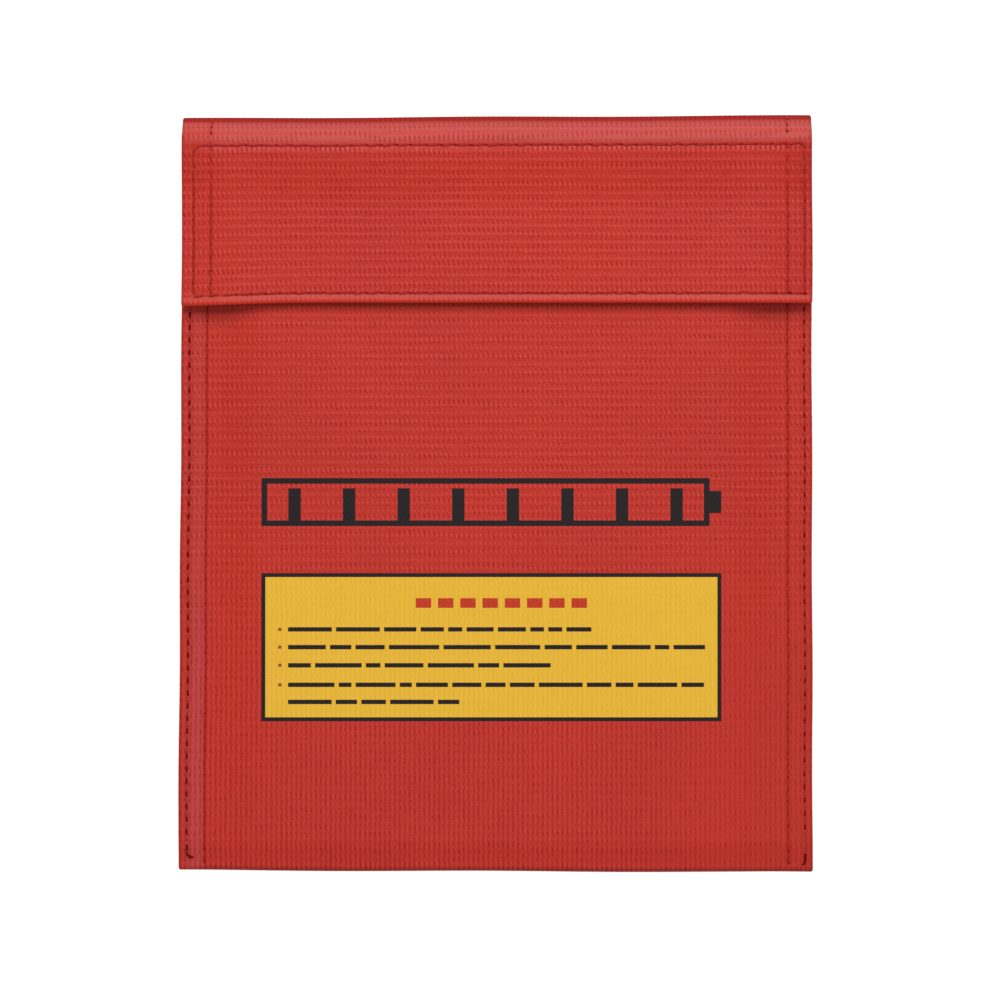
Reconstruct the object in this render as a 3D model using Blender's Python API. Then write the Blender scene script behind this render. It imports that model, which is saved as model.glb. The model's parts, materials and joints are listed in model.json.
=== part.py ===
"""A flat fire-resistant charging pouch for model batteries, lying on its back.

One strip of coated glass cloth makes the back panel, the front panel and the flap. Its side edges are
turned in and hemmed, the two panels are sewn together along both sides, and the flap folds over the
mouth and closes with a hook tape on a loop tape. X runs across the pouch, +Y from the bottom fold to
the top fold, and +Z up out of the front. The origin is on the table, under the middle of the pouch.
"""

import math

import bmesh
import bpy
from mathutils import Vector

# Driving sizes, in metres.
POUCH_WIDTH = 0.184
POUCH_HEIGHT = 0.220
CLOTH = 0.0005
LAYER_GAP = 0.0003
POCKET_DEPTH = 0.0044

HEM_WIDTH = 0.009
HEM_ROW_INSET = 0.007
SEAM_ROW_INSET = 0.0025
ROW_END_INSET = 0.0035
SHOULDER_WIDTH = 0.007

MOUTH_SETBACK = 0.008
FOLD_RUN = 0.006
FLAP_LENGTH = 0.0546
FLAP_HEM_WIDTH = 0.008
FOLD_HEM_LENGTH = 0.0055
BEND_TRIM = 0.00055
PIVOT_CLEARANCE = 0.0005

TAPE_BASE = 0.0004
TAPE_PILE = 0.0006
TAPE_SELVEDGE = 0.0026
TAPE_ROW_INSET = 0.0012
HOOK_TAPE_SIDE_INSET = 0.0014
HOOK_TAPE_EDGE_INSET = 0.0009
HOOK_TAPE_BEND_INSET = 0.0007
LOOP_TAPE_MOUTH_INSET = 0.0005
LOOP_TAPE_SIDE_INSET = 0.0020
LOOP_TAPE_SHORTFALL = 0.0002

THREAD_WIDTH = 0.0005
THREAD_HEIGHT = 0.0003
SURFACE_GAP = 0.0001

PRINT_THICKNESS = 0.0002
PRINT_LEFT_INSET = 0.0236
PRINT_RIGHT_INSET = 0.0262
LABEL_HEIGHT = 0.0432
LABEL_BOTTOM_INSET = 0.0433
LABEL_BORDER = 0.0010
SYMBOL_HEIGHT = 0.0140
SYMBOL_LABEL_GAP = 0.0138
SYMBOL_STROKE = 0.0016
SYMBOL_GAP = 0.0014
SYMBOL_NUB_LENGTH = 0.0034
SYMBOL_NUB_HEIGHT = 0.0064
SYMBOL_BARS = 8
SYMBOL_BAR_WIDTH = 0.0036

FOLD_STEPS = 12
BEAD_STEPS = 8

# Levels, from the table up.
POCKET_ROOF = CLOTH + POCKET_DEPTH
FRONT_TOP = POCKET_ROOF + CLOTH
BACK_HEM_BASE = CLOTH + LAYER_GAP
FRONT_HEM_BASE = BACK_HEM_BASE + CLOTH + LAYER_GAP
MARGIN_BASE = FRONT_HEM_BASE + CLOTH + LAYER_GAP
LOOP_BASE = FRONT_TOP + LAYER_GAP
HOOK_TIP = LOOP_BASE + TAPE_BASE + TAPE_PILE + LAYER_GAP
FLAP_HEM_BASE = HOOK_TIP + TAPE_PILE + TAPE_BASE + LAYER_GAP
FLAP_BASE = FLAP_HEM_BASE + CLOTH + LAYER_GAP
FLAP_TOP = FLAP_BASE + CLOTH

# Places along X and Y.
HALF_WIDTH = POUCH_WIDTH / 2
BOTTOM_Y = -POUCH_HEIGHT / 2
TOP_Y = POUCH_HEIGHT / 2
FOLD_RADIUS = FRONT_TOP / 2
BOTTOM_FOLD_Y = BOTTOM_Y + FOLD_RADIUS
MOUTH_Y = TOP_Y - MOUTH_SETBACK
FLAP_EDGE_Y = TOP_Y - FLAP_LENGTH
HEM_EDGE_X = HALF_WIDTH - HEM_WIDTH
SHOULDER_X = HALF_WIDTH - HEM_ROW_INSET - THREAD_WIDTH
FRONT_EDGE_X = SHOULDER_X - SHOULDER_WIDTH
PRINT_LOW_X = -HALF_WIDTH + PRINT_LEFT_INSET
PRINT_HIGH_X = HALF_WIDTH - PRINT_RIGHT_INSET
LABEL_LOW_Y = BOTTOM_Y + LABEL_BOTTOM_INSET
LABEL_HIGH_Y = LABEL_LOW_Y + LABEL_HEIGHT
SYMBOL_LOW_Y = LABEL_HIGH_Y + SYMBOL_LABEL_GAP

# Joint axes, as (y, z). The front panel tilts about the bottom fold, the fold band turns on the back
# panel's top edge, and the flap turns on the fold band's upper edge.
MOUTH_AXIS = (BOTTOM_Y, FOLD_RADIUS)
FOLD_AXIS = (TOP_Y - CLOTH / 2, CLOTH / 2)
BEND_AXIS = (TOP_Y - FOLD_RUN, FLAP_TOP - CLOTH / 2)
BAND_RUN = FOLD_AXIS[0] - BEND_AXIS[0]
BAND_RISE = BEND_AXIS[1] - FOLD_AXIS[1]
BAND_LENGTH = math.hypot(BAND_RUN, BAND_RISE)
BAND_SLOPE = math.atan2(BAND_RISE, BAND_RUN)

# The hook tape's corners on the flap, and the loop tape's on the front panel, as (x, y).
HOOK_HIGH = (HALF_WIDTH - HOOK_TAPE_SIDE_INSET, BEND_AXIS[0] - HOOK_TAPE_BEND_INSET)
HOOK_LOW = (-HOOK_HIGH[0], FLAP_EDGE_Y + HOOK_TAPE_EDGE_INSET)
LOOP_HIGH = (FRONT_EDGE_X - LOOP_TAPE_SIDE_INSET, MOUTH_Y - LOOP_TAPE_MOUTH_INSET)
LOOP_LOW = (-LOOP_HIGH[0], HOOK_LOW[1] + LOOP_TAPE_SHORTFALL)


def clear_scene():
    for obj in list(bpy.data.objects):
        bpy.data.objects.remove(obj, do_unlink=True)


def plain_material(name, colour, roughness):
    material = bpy.data.materials.new(name)
    material.use_nodes = True
    shader = material.node_tree.nodes["Principled BSDF"]
    shader.inputs["Base Color"].default_value = (*colour, 1.0)
    shader.inputs["Roughness"].default_value = roughness
    shader.inputs["Metallic"].default_value = 0.0
    return material


def place_of(empty):
    """Where a body's empty stands in the world."""
    place = Vector()
    while empty is not None:
        place += empty.location
        empty = empty.parent
    return place


def add_body(name, axis, parent=None):
    """An empty that carries one body's pieces and stands on its joint's axis, given as (y, z)."""
    empty = bpy.data.objects.new(name, None)
    empty.empty_display_size = 0.02
    empty.parent = parent
    empty.location = Vector((0.0, *axis)) - place_of(parent)
    bpy.context.scene.collection.objects.link(empty)
    return empty


def add_piece(name, maker, centre, body, material):
    """A named object on its body, whose mesh was modelled round the centre given."""
    mesh = bpy.data.meshes.new(name)
    maker.to_mesh(mesh)
    maker.free()
    mesh.materials.append(material)
    piece = bpy.data.objects.new(name, mesh)
    piece.parent = body
    piece.location = Vector(centre) - place_of(body)
    bpy.context.scene.collection.objects.link(piece)
    return piece


def moved_verts(extrusion):
    return [item for item in extrusion["geom"] if isinstance(item, bmesh.types.BMVert)]


def box_maker(size):
    maker = bmesh.new()
    bmesh.ops.create_cube(maker, size=1.0)
    bmesh.ops.scale(maker, vec=size, verts=maker.verts)
    return maker


def add_plate(name, low, high, body, material):
    """A flat piece that fills the box between two corners."""
    size = Vector(high) - Vector(low)
    return add_piece(name, box_maker(size), Vector(low) + size / 2, body, material)


def add_profile(name, section, plane, start, end, body, material):
    """A closed section drawn out along one axis: (y, z) points along X, or (x, z) points along Y."""
    length = end - start
    maker = bmesh.new()
    if plane == "YZ":
        corners = [maker.verts.new((-length / 2, y, z)) for y, z in section]
        step = (length, 0.0, 0.0)
        centre = (start + length / 2, 0.0, 0.0)
    else:
        corners = [maker.verts.new((x, -length / 2, z)) for x, z in section]
        step = (0.0, length, 0.0)
        centre = (0.0, start + length / 2, 0.0)
    end_face = bmesh.ops.extrude_face_region(maker, geom=[maker.faces.new(corners)])
    bmesh.ops.translate(maker, vec=step, verts=moved_verts(end_face))
    bmesh.ops.recalc_face_normals(maker, faces=maker.faces)
    return add_piece(name, maker, centre, body, material)


def add_stencil(name, x_lines, y_lines, is_solid, base, height, body, material):
    """A flat shape of even height, made of the grid cells whose middle is_solid(x, y) accepts."""
    maker = bmesh.new()
    rows = [[maker.verts.new((x, y, base)) for x in x_lines] for y in y_lines]
    for row in range(len(y_lines) - 1):
        for column in range(len(x_lines) - 1):
            middle_x = (x_lines[column] + x_lines[column + 1]) / 2
            middle_y = (y_lines[row] + y_lines[row + 1]) / 2
            if is_solid(middle_x, middle_y):
                near, far = rows[row], rows[row + 1]
                maker.faces.new((near[column], near[column + 1], far[column + 1], far[column]))
    unused = [vert for vert in maker.verts if not vert.link_faces]
    bmesh.ops.delete(maker, geom=unused, context="VERTS")
    top = bmesh.ops.extrude_face_region(maker, geom=list(maker.faces))
    bmesh.ops.translate(maker, vec=(0.0, 0.0, height), verts=moved_verts(top))
    bmesh.ops.recalc_face_normals(maker, faces=maker.faces)
    return add_piece(name, maker, (0.0, 0.0, 0.0), body, material)


def add_ring(name, low, high, width, base, height, body, material):
    """A rectangular frame of even width, inside two corners given as (x, y)."""
    x_lines = [low[0], low[0] + width, high[0] - width, high[0]]
    y_lines = [low[1], low[1] + width, high[1] - width, high[1]]

    def on_the_frame(x, y):
        return not (x_lines[1] < x < x_lines[2] and y_lines[1] < y < y_lines[2])

    return add_stencil(name, x_lines, y_lines, on_the_frame, base, height, body, material)


def add_tape(name, low, high, middle_z, facing, body, material):
    """A fastener tape: a woven base, whose hooks or pile stand up or down inside a bare selvedge."""
    size = Vector((high[0] - low[0], high[1] - low[1], TAPE_BASE))
    maker = box_maker(size)
    face = next(face for face in maker.faces if face.normal.z * facing > 0.5)
    bmesh.ops.inset_region(maker, faces=[face], thickness=TAPE_SELVEDGE)
    pile = bmesh.ops.extrude_face_region(maker, geom=[face])
    bmesh.ops.translate(maker, vec=(0.0, 0.0, facing * TAPE_PILE), verts=moved_verts(pile))
    bmesh.ops.delete(maker, geom=[face], context="FACES")
    centre = ((low[0] + high[0]) / 2, (low[1] + high[1]) / 2, middle_z)
    return add_piece(name, maker, centre, body, material)


def add_row(name, x, start, end, base, body, material):
    """A straight row of stitches along Y, as one plain ribbon."""
    low = (x - THREAD_WIDTH / 2, start, base)
    high = (x + THREAD_WIDTH / 2, end, base + THREAD_HEIGHT)
    return add_plate(name, low, high, body, material)


def add_row_ring(name, low, high, base, body, material):
    """A rectangle of stitches just inside a tape's edge, whose corners are given as (x, y)."""
    inset = TAPE_ROW_INSET - THREAD_WIDTH / 2
    low = (low[0] + inset, low[1] + inset)
    high = (high[0] - inset, high[1] - inset)
    return add_ring(name, low, high, THREAD_WIDTH, base, THREAD_HEIGHT, body, material)


def arc(centre, radius, start, end, steps):
    """Points on a circle between two angles, counted in radians from the section's first axis."""
    points = []
    for step in range(steps + 1):
        angle = start + (end - start) * step / steps
        points.append((centre[0] + radius * math.cos(angle), centre[1] + radius * math.sin(angle)))
    return points


def rounded_strip(start, angle, length):
    """A cloth strip's section: a half-round end on a pivot, then a straight run to a square end."""
    half = CLOTH / 2
    points = arc(start, half, angle + math.pi / 2, angle + 3 * math.pi / 2, BEAD_STEPS)
    tip = (start[0] + length * math.cos(angle), start[1] + length * math.sin(angle))
    across = (half * math.sin(angle), -half * math.cos(angle))
    points.append((tip[0] + across[0], tip[1] + across[1]))
    points.append((tip[0] - across[0], tip[1] - across[1]))
    return points


def band_point(along, inward):
    """A point of the fold band's section: so far up from its axis, and so far in towards the mouth."""
    y = FOLD_AXIS[0] - along * math.cos(BAND_SLOPE) - inward * math.sin(BAND_SLOPE)
    z = FOLD_AXIS[1] + along * math.sin(BAND_SLOPE) - inward * math.cos(BAND_SLOPE)
    return (y, z)


def clear_of_band(height):
    """The Y at which a piece of the given top height ends, to keep the layer gap to the fold band."""
    rise = (height - FOLD_AXIS[1]) * math.cos(BAND_SLOPE)
    return FOLD_AXIS[0] - (CLOTH / 2 + LAYER_GAP + rise) / math.sin(BAND_SLOPE)


def side_span(side, inner, outer):
    """The low and high X of a strip on one side, from its distances to the pouch's middle."""
    return sorted((side * inner, side * outer))


def make_back(body, cloth):
    """The back panel, notched where the bottom fold's round wall takes over."""
    notch_x = FRONT_EDGE_X + LAYER_GAP
    notch_y = BOTTOM_FOLD_Y + LAYER_GAP

    def on_the_panel(x, y):
        return abs(x) > notch_x or y > notch_y

    x_lines = [-HALF_WIDTH, -notch_x, notch_x, HALF_WIDTH]
    y_lines = [BOTTOM_Y, notch_y, clear_of_band(CLOTH)]
    add_stencil("back_panel", x_lines, y_lines, on_the_panel, 0.0, CLOTH, body, cloth)


def make_bottom_fold(body, cloth):
    """The round wall in which the strip turns from the back panel to the front panel."""
    centre = (BOTTOM_FOLD_Y, FOLD_RADIUS)
    section = arc(centre, FOLD_RADIUS, 1.5 * math.pi, 0.5 * math.pi, FOLD_STEPS)
    section += arc(centre, FOLD_RADIUS - CLOTH, 0.5 * math.pi, 1.5 * math.pi, FOLD_STEPS)
    add_profile("bottom_fold", section, "YZ", -FRONT_EDGE_X, FRONT_EDGE_X, body, cloth)


def make_margin(side, label, body, cloth, thread):
    """One sewn side: two turned-in hems under the front panel's margin, and their two rows."""
    hem_x = side_span(side, HEM_EDGE_X, HALF_WIDTH)
    hem_top = BACK_HEM_BASE + CLOTH
    low = (hem_x[0], BOTTOM_Y, BACK_HEM_BASE)
    high = (hem_x[1], clear_of_band(hem_top), hem_top)
    add_plate(label + "_back_hem", low, high, body, cloth)
    low = (hem_x[0], BOTTOM_Y, FRONT_HEM_BASE)
    high = (hem_x[1], MOUTH_Y, FRONT_HEM_BASE + CLOTH)
    add_plate(label + "_front_hem", low, high, body, cloth)

    crest = FRONT_EDGE_X + LAYER_GAP
    section = [
        (side * HALF_WIDTH, MARGIN_BASE),
        (side * HALF_WIDTH, MARGIN_BASE + CLOTH),
        (side * SHOULDER_X, MARGIN_BASE + CLOTH),
        (side * crest, FRONT_TOP),
        (side * crest, POCKET_ROOF),
        (side * SHOULDER_X, MARGIN_BASE),
    ]
    add_profile(label + "_front_margin", section, "XZ", BOTTOM_Y, MOUTH_Y, body, cloth)

    start = BOTTOM_Y + ROW_END_INSET
    end = MOUTH_Y - ROW_END_INSET
    base = MARGIN_BASE + CLOTH + SURFACE_GAP
    seam_x = side * (HALF_WIDTH - SEAM_ROW_INSET)
    add_row(label + "_side_seam_thread", seam_x, start, end, base, body, thread)
    hem_row_x = side * (HALF_WIDTH - HEM_ROW_INSET)
    add_row(label + "_hem_thread", hem_row_x, start, end, base, body, thread)


def make_front(body, cloth, pile, thread):
    """The front panel between its sewn margins, with the loop tape along the mouth."""
    low = (-FRONT_EDGE_X, BOTTOM_FOLD_Y + PIVOT_CLEARANCE, POCKET_ROOF)
    add_plate("front_panel", low, (FRONT_EDGE_X, MOUTH_Y, FRONT_TOP), body, cloth)
    add_tape("loop_tape", LOOP_LOW, LOOP_HIGH, LOOP_BASE + TAPE_BASE / 2, 1.0, body, pile)
    base = LOOP_BASE + TAPE_BASE + SURFACE_GAP
    add_row_ring("loop_tape_thread", LOOP_LOW, LOOP_HIGH, base, body, thread)


def make_label(body, yellow, black):
    """The printed label, a plain field inside its border."""
    base = FRONT_TOP + SURFACE_GAP
    low = (PRINT_LOW_X, LABEL_LOW_Y)
    high = (PRINT_HIGH_X, LABEL_HIGH_Y)
    add_ring("label_border", low, high, LABEL_BORDER, base, PRINT_THICKNESS, body, black)
    inset = LABEL_BORDER + SURFACE_GAP
    field_low = (low[0] + inset, low[1] + inset, base)
    field_high = (high[0] - inset, high[1] - inset, base + PRINT_THICKNESS)
    add_plate("printed_label", field_low, field_high, body, yellow)


def make_symbol(body, black):
    """The printed battery symbol: an outline with its end terminal, and a comb of charge bars."""
    case_high_x = PRINT_HIGH_X - SYMBOL_NUB_LENGTH
    inner_low_x = PRINT_LOW_X + SYMBOL_STROKE
    inner_high_x = case_high_x - SYMBOL_STROKE
    inner_low_y = SYMBOL_LOW_Y + SYMBOL_STROKE
    inner_high_y = SYMBOL_LOW_Y + SYMBOL_HEIGHT - SYMBOL_STROKE
    middle_y = SYMBOL_LOW_Y + SYMBOL_HEIGHT / 2
    pitch = (inner_high_x - inner_low_x) / SYMBOL_BARS
    bar_middles = [inner_low_x + (bar + 0.5) * pitch for bar in range(SYMBOL_BARS)]

    x_lines = [PRINT_LOW_X, inner_low_x]
    for middle_x in bar_middles:
        x_lines += [middle_x - SYMBOL_BAR_WIDTH / 2, middle_x + SYMBOL_BAR_WIDTH / 2]
    x_lines += [inner_high_x, case_high_x, PRINT_HIGH_X]
    y_lines = [
        SYMBOL_LOW_Y,
        inner_low_y,
        middle_y - SYMBOL_NUB_HEIGHT / 2,
        middle_y + SYMBOL_NUB_HEIGHT / 2,
        inner_high_y - SYMBOL_GAP,
        inner_high_y,
        SYMBOL_LOW_Y + SYMBOL_HEIGHT,
    ]

    def on_the_symbol(x, y):
        if x > case_high_x:
            return abs(y - middle_y) < SYMBOL_NUB_HEIGHT / 2
        if not (inner_low_x < x < inner_high_x and inner_low_y < y < inner_high_y):
            return True
        on_a_bar = any(abs(x - middle_x) < SYMBOL_BAR_WIDTH / 2 for middle_x in bar_middles)
        return on_a_bar and y < inner_high_y - SYMBOL_GAP

    base = FRONT_TOP + SURFACE_GAP
    add_stencil("title_symbol", x_lines, y_lines, on_the_symbol, base, PRINT_THICKNESS, body, black)


def make_fold_band(body, cloth):
    """The band that rises from the back panel's top edge, over the mouth, to the flap."""
    section = rounded_strip(FOLD_AXIS, math.pi - BAND_SLOPE, BAND_LENGTH - BEND_TRIM)
    add_profile("flap_fold_band", section, "YZ", -HALF_WIDTH, HALF_WIDTH, body, cloth)

    start = (BAND_LENGTH - FOLD_HEM_LENGTH) / 2
    end = start + FOLD_HEM_LENGTH
    near = CLOTH / 2 + LAYER_GAP
    far = near + CLOTH
    corners = ((start, near), (end, near), (end, far), (start, far))
    hem_section = [band_point(along, inward) for along, inward in corners]
    for side, label in ((-1, "left"), (1, "right")):
        hem_x = side_span(side, HEM_EDGE_X, HALF_WIDTH)
        add_profile(label + "_fold_hem", hem_section, "YZ", *hem_x, body, cloth)


def make_flap(body, cloth, hooks, thread):
    """The flap with its turned-in hems, the hook tape under it, and the rows that show on top."""
    section = rounded_strip(BEND_AXIS, math.pi, BEND_AXIS[0] - FLAP_EDGE_Y)
    add_profile("flap_panel", section, "YZ", -HALF_WIDTH, HALF_WIDTH, body, cloth)
    add_tape("hook_tape", HOOK_LOW, HOOK_HIGH, HOOK_TIP + TAPE_PILE + TAPE_BASE / 2, -1.0, body, hooks)

    hem_top = FLAP_HEM_BASE + CLOTH
    edge_hem_x = HEM_EDGE_X - LAYER_GAP
    low = (-edge_hem_x, FLAP_EDGE_Y, FLAP_HEM_BASE)
    high = (edge_hem_x, FLAP_EDGE_Y + FLAP_HEM_WIDTH, hem_top)
    add_plate("flap_edge_hem", low, high, body, cloth)

    base = FLAP_TOP + SURFACE_GAP
    add_row_ring("hook_tape_thread", HOOK_LOW, HOOK_HIGH, base, body, thread)
    row_clearance = TAPE_ROW_INSET + THREAD_WIDTH
    for side, label in ((-1, "left"), (1, "right")):
        hem_x = side_span(side, HEM_EDGE_X, HALF_WIDTH)
        low = (hem_x[0], FLAP_EDGE_Y, FLAP_HEM_BASE)
        add_plate(f"flap_{label}_hem", low, (hem_x[1], HOOK_HIGH[1], hem_top), body, cloth)
        x = side * (HALF_WIDTH - HEM_ROW_INSET)
        start = HOOK_LOW[1] + row_clearance
        end = HOOK_HIGH[1] - row_clearance
        add_row(f"flap_{label}_hem_thread", x, start, end, base, body, thread)


def main():
    clear_scene()
    cloth = plain_material("red_cloth", (0.53, 0.042, 0.030), 0.55)
    pile = plain_material("loop_pile", (0.012, 0.012, 0.013), 0.95)
    hooks = plain_material("hook_tape", (0.015, 0.015, 0.016), 0.60)
    thread = plain_material("red_thread", (0.23, 0.014, 0.012), 0.70)
    yellow = plain_material("label_yellow", (0.79, 0.47, 0.055), 0.55)
    black = plain_material("print_black", (0.012, 0.010, 0.010), 0.50)

    pouch = add_body("pouch_body", (0.0, 0.0))
    front = add_body("front_body", MOUTH_AXIS, pouch)
    fold = add_body("fold_body", FOLD_AXIS, pouch)
    flap = add_body("flap_body", BEND_AXIS, fold)

    make_back(pouch, cloth)
    make_bottom_fold(pouch, cloth)
    for side, label in ((-1, "left"), (1, "right")):
        make_margin(side, label, pouch, cloth, thread)
    make_front(front, cloth, pile, thread)
    make_label(front, yellow, black)
    make_symbol(front, black)
    make_fold_band(fold, cloth)
    make_flap(flap, cloth, hooks, thread)


main()
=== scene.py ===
import json
import math

import bmesh
import bpy
import numpy as np
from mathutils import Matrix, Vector


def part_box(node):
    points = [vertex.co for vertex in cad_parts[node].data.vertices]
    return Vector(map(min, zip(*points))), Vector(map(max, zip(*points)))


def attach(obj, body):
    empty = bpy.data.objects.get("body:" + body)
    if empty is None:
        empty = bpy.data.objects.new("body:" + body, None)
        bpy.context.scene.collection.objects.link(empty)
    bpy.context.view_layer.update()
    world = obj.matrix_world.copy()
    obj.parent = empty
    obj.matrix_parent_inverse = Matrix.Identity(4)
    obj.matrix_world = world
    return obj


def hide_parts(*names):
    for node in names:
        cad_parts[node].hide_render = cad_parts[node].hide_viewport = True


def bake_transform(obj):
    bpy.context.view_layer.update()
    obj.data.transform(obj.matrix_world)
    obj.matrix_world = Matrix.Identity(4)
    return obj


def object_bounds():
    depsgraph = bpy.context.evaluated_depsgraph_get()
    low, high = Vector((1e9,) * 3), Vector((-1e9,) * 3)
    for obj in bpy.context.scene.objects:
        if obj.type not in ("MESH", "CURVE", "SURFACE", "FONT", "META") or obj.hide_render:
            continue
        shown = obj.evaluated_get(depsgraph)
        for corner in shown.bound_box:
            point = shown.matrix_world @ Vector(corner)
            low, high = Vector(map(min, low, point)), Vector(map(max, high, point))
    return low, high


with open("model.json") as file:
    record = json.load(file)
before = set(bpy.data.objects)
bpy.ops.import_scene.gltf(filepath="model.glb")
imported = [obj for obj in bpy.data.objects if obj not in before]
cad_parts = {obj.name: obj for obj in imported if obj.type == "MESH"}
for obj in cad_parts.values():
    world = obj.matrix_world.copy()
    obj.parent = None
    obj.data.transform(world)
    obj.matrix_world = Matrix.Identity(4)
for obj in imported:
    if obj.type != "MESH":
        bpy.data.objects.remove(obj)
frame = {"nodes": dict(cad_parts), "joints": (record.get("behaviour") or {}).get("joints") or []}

cadLow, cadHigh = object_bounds()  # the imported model's own box
print("frame loaded,", len(frame["nodes"]), "nodes")

mm = 0.001
turn = 2 * math.pi

# what the frame says about the strip of cloth

hinges = {joint["name"]: joint for joint in frame["joints"]}
creaseAt = np.array(hinges["flap_fold"]["pos_m"][1:])  # (y, z) of the crease behind the mouth
bendAt = np.array(hinges["flap_bend"]["pos_m"][1:])  # (y, z) of the bend above the mouth
bandSlope = math.atan2(bendAt[1] - creaseAt[1], creaseAt[0] - bendAt[0])

strip = {
    "thickness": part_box("back_panel")[1].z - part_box("back_panel")[0].z,
    "hemEdge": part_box("right_back_hem")[0].x,  # where a turned-in side hem ends
    "halfWidth": cadHigh.x,
    "mouth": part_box("front_panel")[1].y,
    "flapEdge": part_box("flap_panel")[0].y,
    "flapHemEdge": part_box("flap_edge_hem")[1].y,
    "seamRow": (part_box("right_side_seam_thread")[0].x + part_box("right_side_seam_thread")[1].x) / 2,
    "hemRow": (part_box("right_hem_thread")[0].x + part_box("right_hem_thread")[1].x) / 2,
    "rowEnd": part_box("right_hem_thread")[1].y,
}
half = strip["thickness"] / 2
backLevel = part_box("back_panel")[0].z + half  # middle of the cloth, resting on the table
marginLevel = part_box("left_front_margin")[0].z + half
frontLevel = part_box("front_panel")[1].z - half
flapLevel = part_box("flap_panel")[1].z - half
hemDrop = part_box("left_back_hem")[0].z + half - backLevel  # a hem lies this far inside its panel
turnRadius = hemDrop / 2
panelEdge = strip["halfWidth"] - half - turnRadius
hemRun = panelEdge - strip["hemEdge"]
turnLength = math.pi * turnRadius
bottomTip = cadLow.y + half
bottomDepth = (frontLevel - backLevel) / 2
bottomStart = bottomTip + bottomDepth

shapes = {
    "shoulderOuter": 84.5 * mm,
    "shoulderInner": 66.0 * mm,
    "frontWave": 0.10 * mm,
    "marginPillow": 0.20 * mm,
    "rightPillow": 0.7,  # the right margin's share of it
    "groove": 0.15 * mm,
    "grooveWidth": 0.60 * mm,
    "grooveBeat": 0.35,  # how much deeper the groove gets at each stitch
    "pucker": 0.06 * mm,
    "puckerBias": 0.8,  # more on the side that faces the middle
    "puckerTurn": 0.4 * mm,
    "rowFade": 1.2 * mm,
    "puckerReach": 0.9 * mm,
    "creaseRadius": 0.5 * mm,
    "bendRadius": 3.0 * mm,
    "foldSquareness": 0.5,
    "bottomTaper": 0.9 * mm,
}

hookLow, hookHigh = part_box("hook_tape")
loopLow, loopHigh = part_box("loop_tape")
ring = {"threadHalf": 0.25 * mm, "bottomLift": 0.9 * mm, "topDrop": 1.0 * mm}  # the rows round the hook tape
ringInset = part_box("hook_tape_thread")[0].x - hookLow.x + ring["threadHalf"]
ringLow = Vector((hookLow.x + ringInset, hookLow.y + ringInset + ring["bottomLift"], 0.0))
ringHigh = Vector((hookHigh.x - ringInset, hookHigh.y - ringInset - ring["topDrop"], 0.0))


# small numeric helpers

def smooth(value, low, high):
    share = np.clip((value - low) / (high - low), 0.0, 1.0)
    return share * share * (3.0 - 2.0 * share)


def ladder(*runs):
    # ascending values: each run is (start, end, rough step)
    values = []
    for start, end, step in runs:
        count = max(1, round((end - start) / step))
        values += [start + (end - start) * index / count for index in range(count)]
    return np.array(values + [runs[-1][1]])


def waves(x, y, seed, count, shortest, longest):
    # a soft random relief between about -1 and 1
    draw = np.random.default_rng(seed)
    total = np.zeros_like(x)
    for _ in range(count):
        length = draw.uniform(shortest, longest)
        heading = draw.uniform(0.0, math.pi)
        phase = draw.uniform(0.0, turn)
        total += np.sin((x * math.cos(heading) + y * math.sin(heading)) / length * turn + phase)
    return total / math.sqrt(count)


def rowRelief(across, along, pitch, ends=None, side=0.0):
    # the groove that a row of stitches pulls into the cloth, and the puckers beside it
    depth = shapes["groove"] * np.exp(-((across / shapes["grooveWidth"]) ** 2))
    beat = np.cos(along / pitch * turn)
    pucker = shapes["pucker"] * beat * np.exp(-np.abs(across) / shapes["puckerReach"])
    if side:
        pucker = pucker * (1.0 + shapes["puckerBias"] * np.tanh(across * side / shapes["puckerTurn"]))
    relief = -depth * (1.0 + shapes["grooveBeat"] * beat) + pucker
    if ends is not None:
        reach = shapes["rowFade"]
        relief = relief * smooth(along, ends[0] - reach, ends[0] + reach)
        relief = relief * (1.0 - smooth(along, ends[1] - reach, ends[1] + reach))
    return relief


rows = {
    "leftSeam": {"x": -strip["seamRow"], "pitch": 3.66 * mm, "deep": 1.5},
    "rightSeam": {"x": strip["seamRow"] + 0.2 * mm, "pitch": 3.87 * mm, "deep": 1.3},
    "leftHem": {"x": -strip["hemRow"] + 0.5 * mm, "pitch": 3.55 * mm, "deep": 0.9},
    "rightHem": {"x": strip["hemRow"] - 0.1 * mm, "pitch": 3.50 * mm, "deep": 0.7},
    "flapLeft": {"x": ringLow.x + 0.9 * mm, "pitch": 3.66 * mm, "deep": 0.9},
    "flapRight": {"x": ringHigh.x + 0.2 * mm, "pitch": 3.87 * mm, "deep": 0.9},
    "flapLeftHem": {"x": -strip["hemRow"] + 1.6 * mm, "pitch": 3.55 * mm, "deep": 0.7},
    "flapRightHem": {"x": strip["hemRow"] - 0.2 * mm, "pitch": 3.50 * mm, "deep": 0.7},
    "flapTop": {"y": ringHigh.y, "pitch": 4.34 * mm, "deep": 0.8},
    "flapBottom": {"y": ringLow.y, "pitch": 4.16 * mm, "deep": 0.75},
}


lean = {
    "left": (-1.0, 1.45),  # each pair in mm: at one end of the edge, and how much more at the other
    "right": (0.72, -0.36),
    "top": (0.10, 0.85),
    "bottom": (-0.42, -0.58),
    "side": (60 * mm, 91 * mm),  # from the middle, where the sides start to follow and where they do fully
    "end": (88 * mm, 108 * mm),
}


def edgePull(edge, share):
    return (lean[edge][0] + lean[edge][1] * share) * mm


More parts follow.
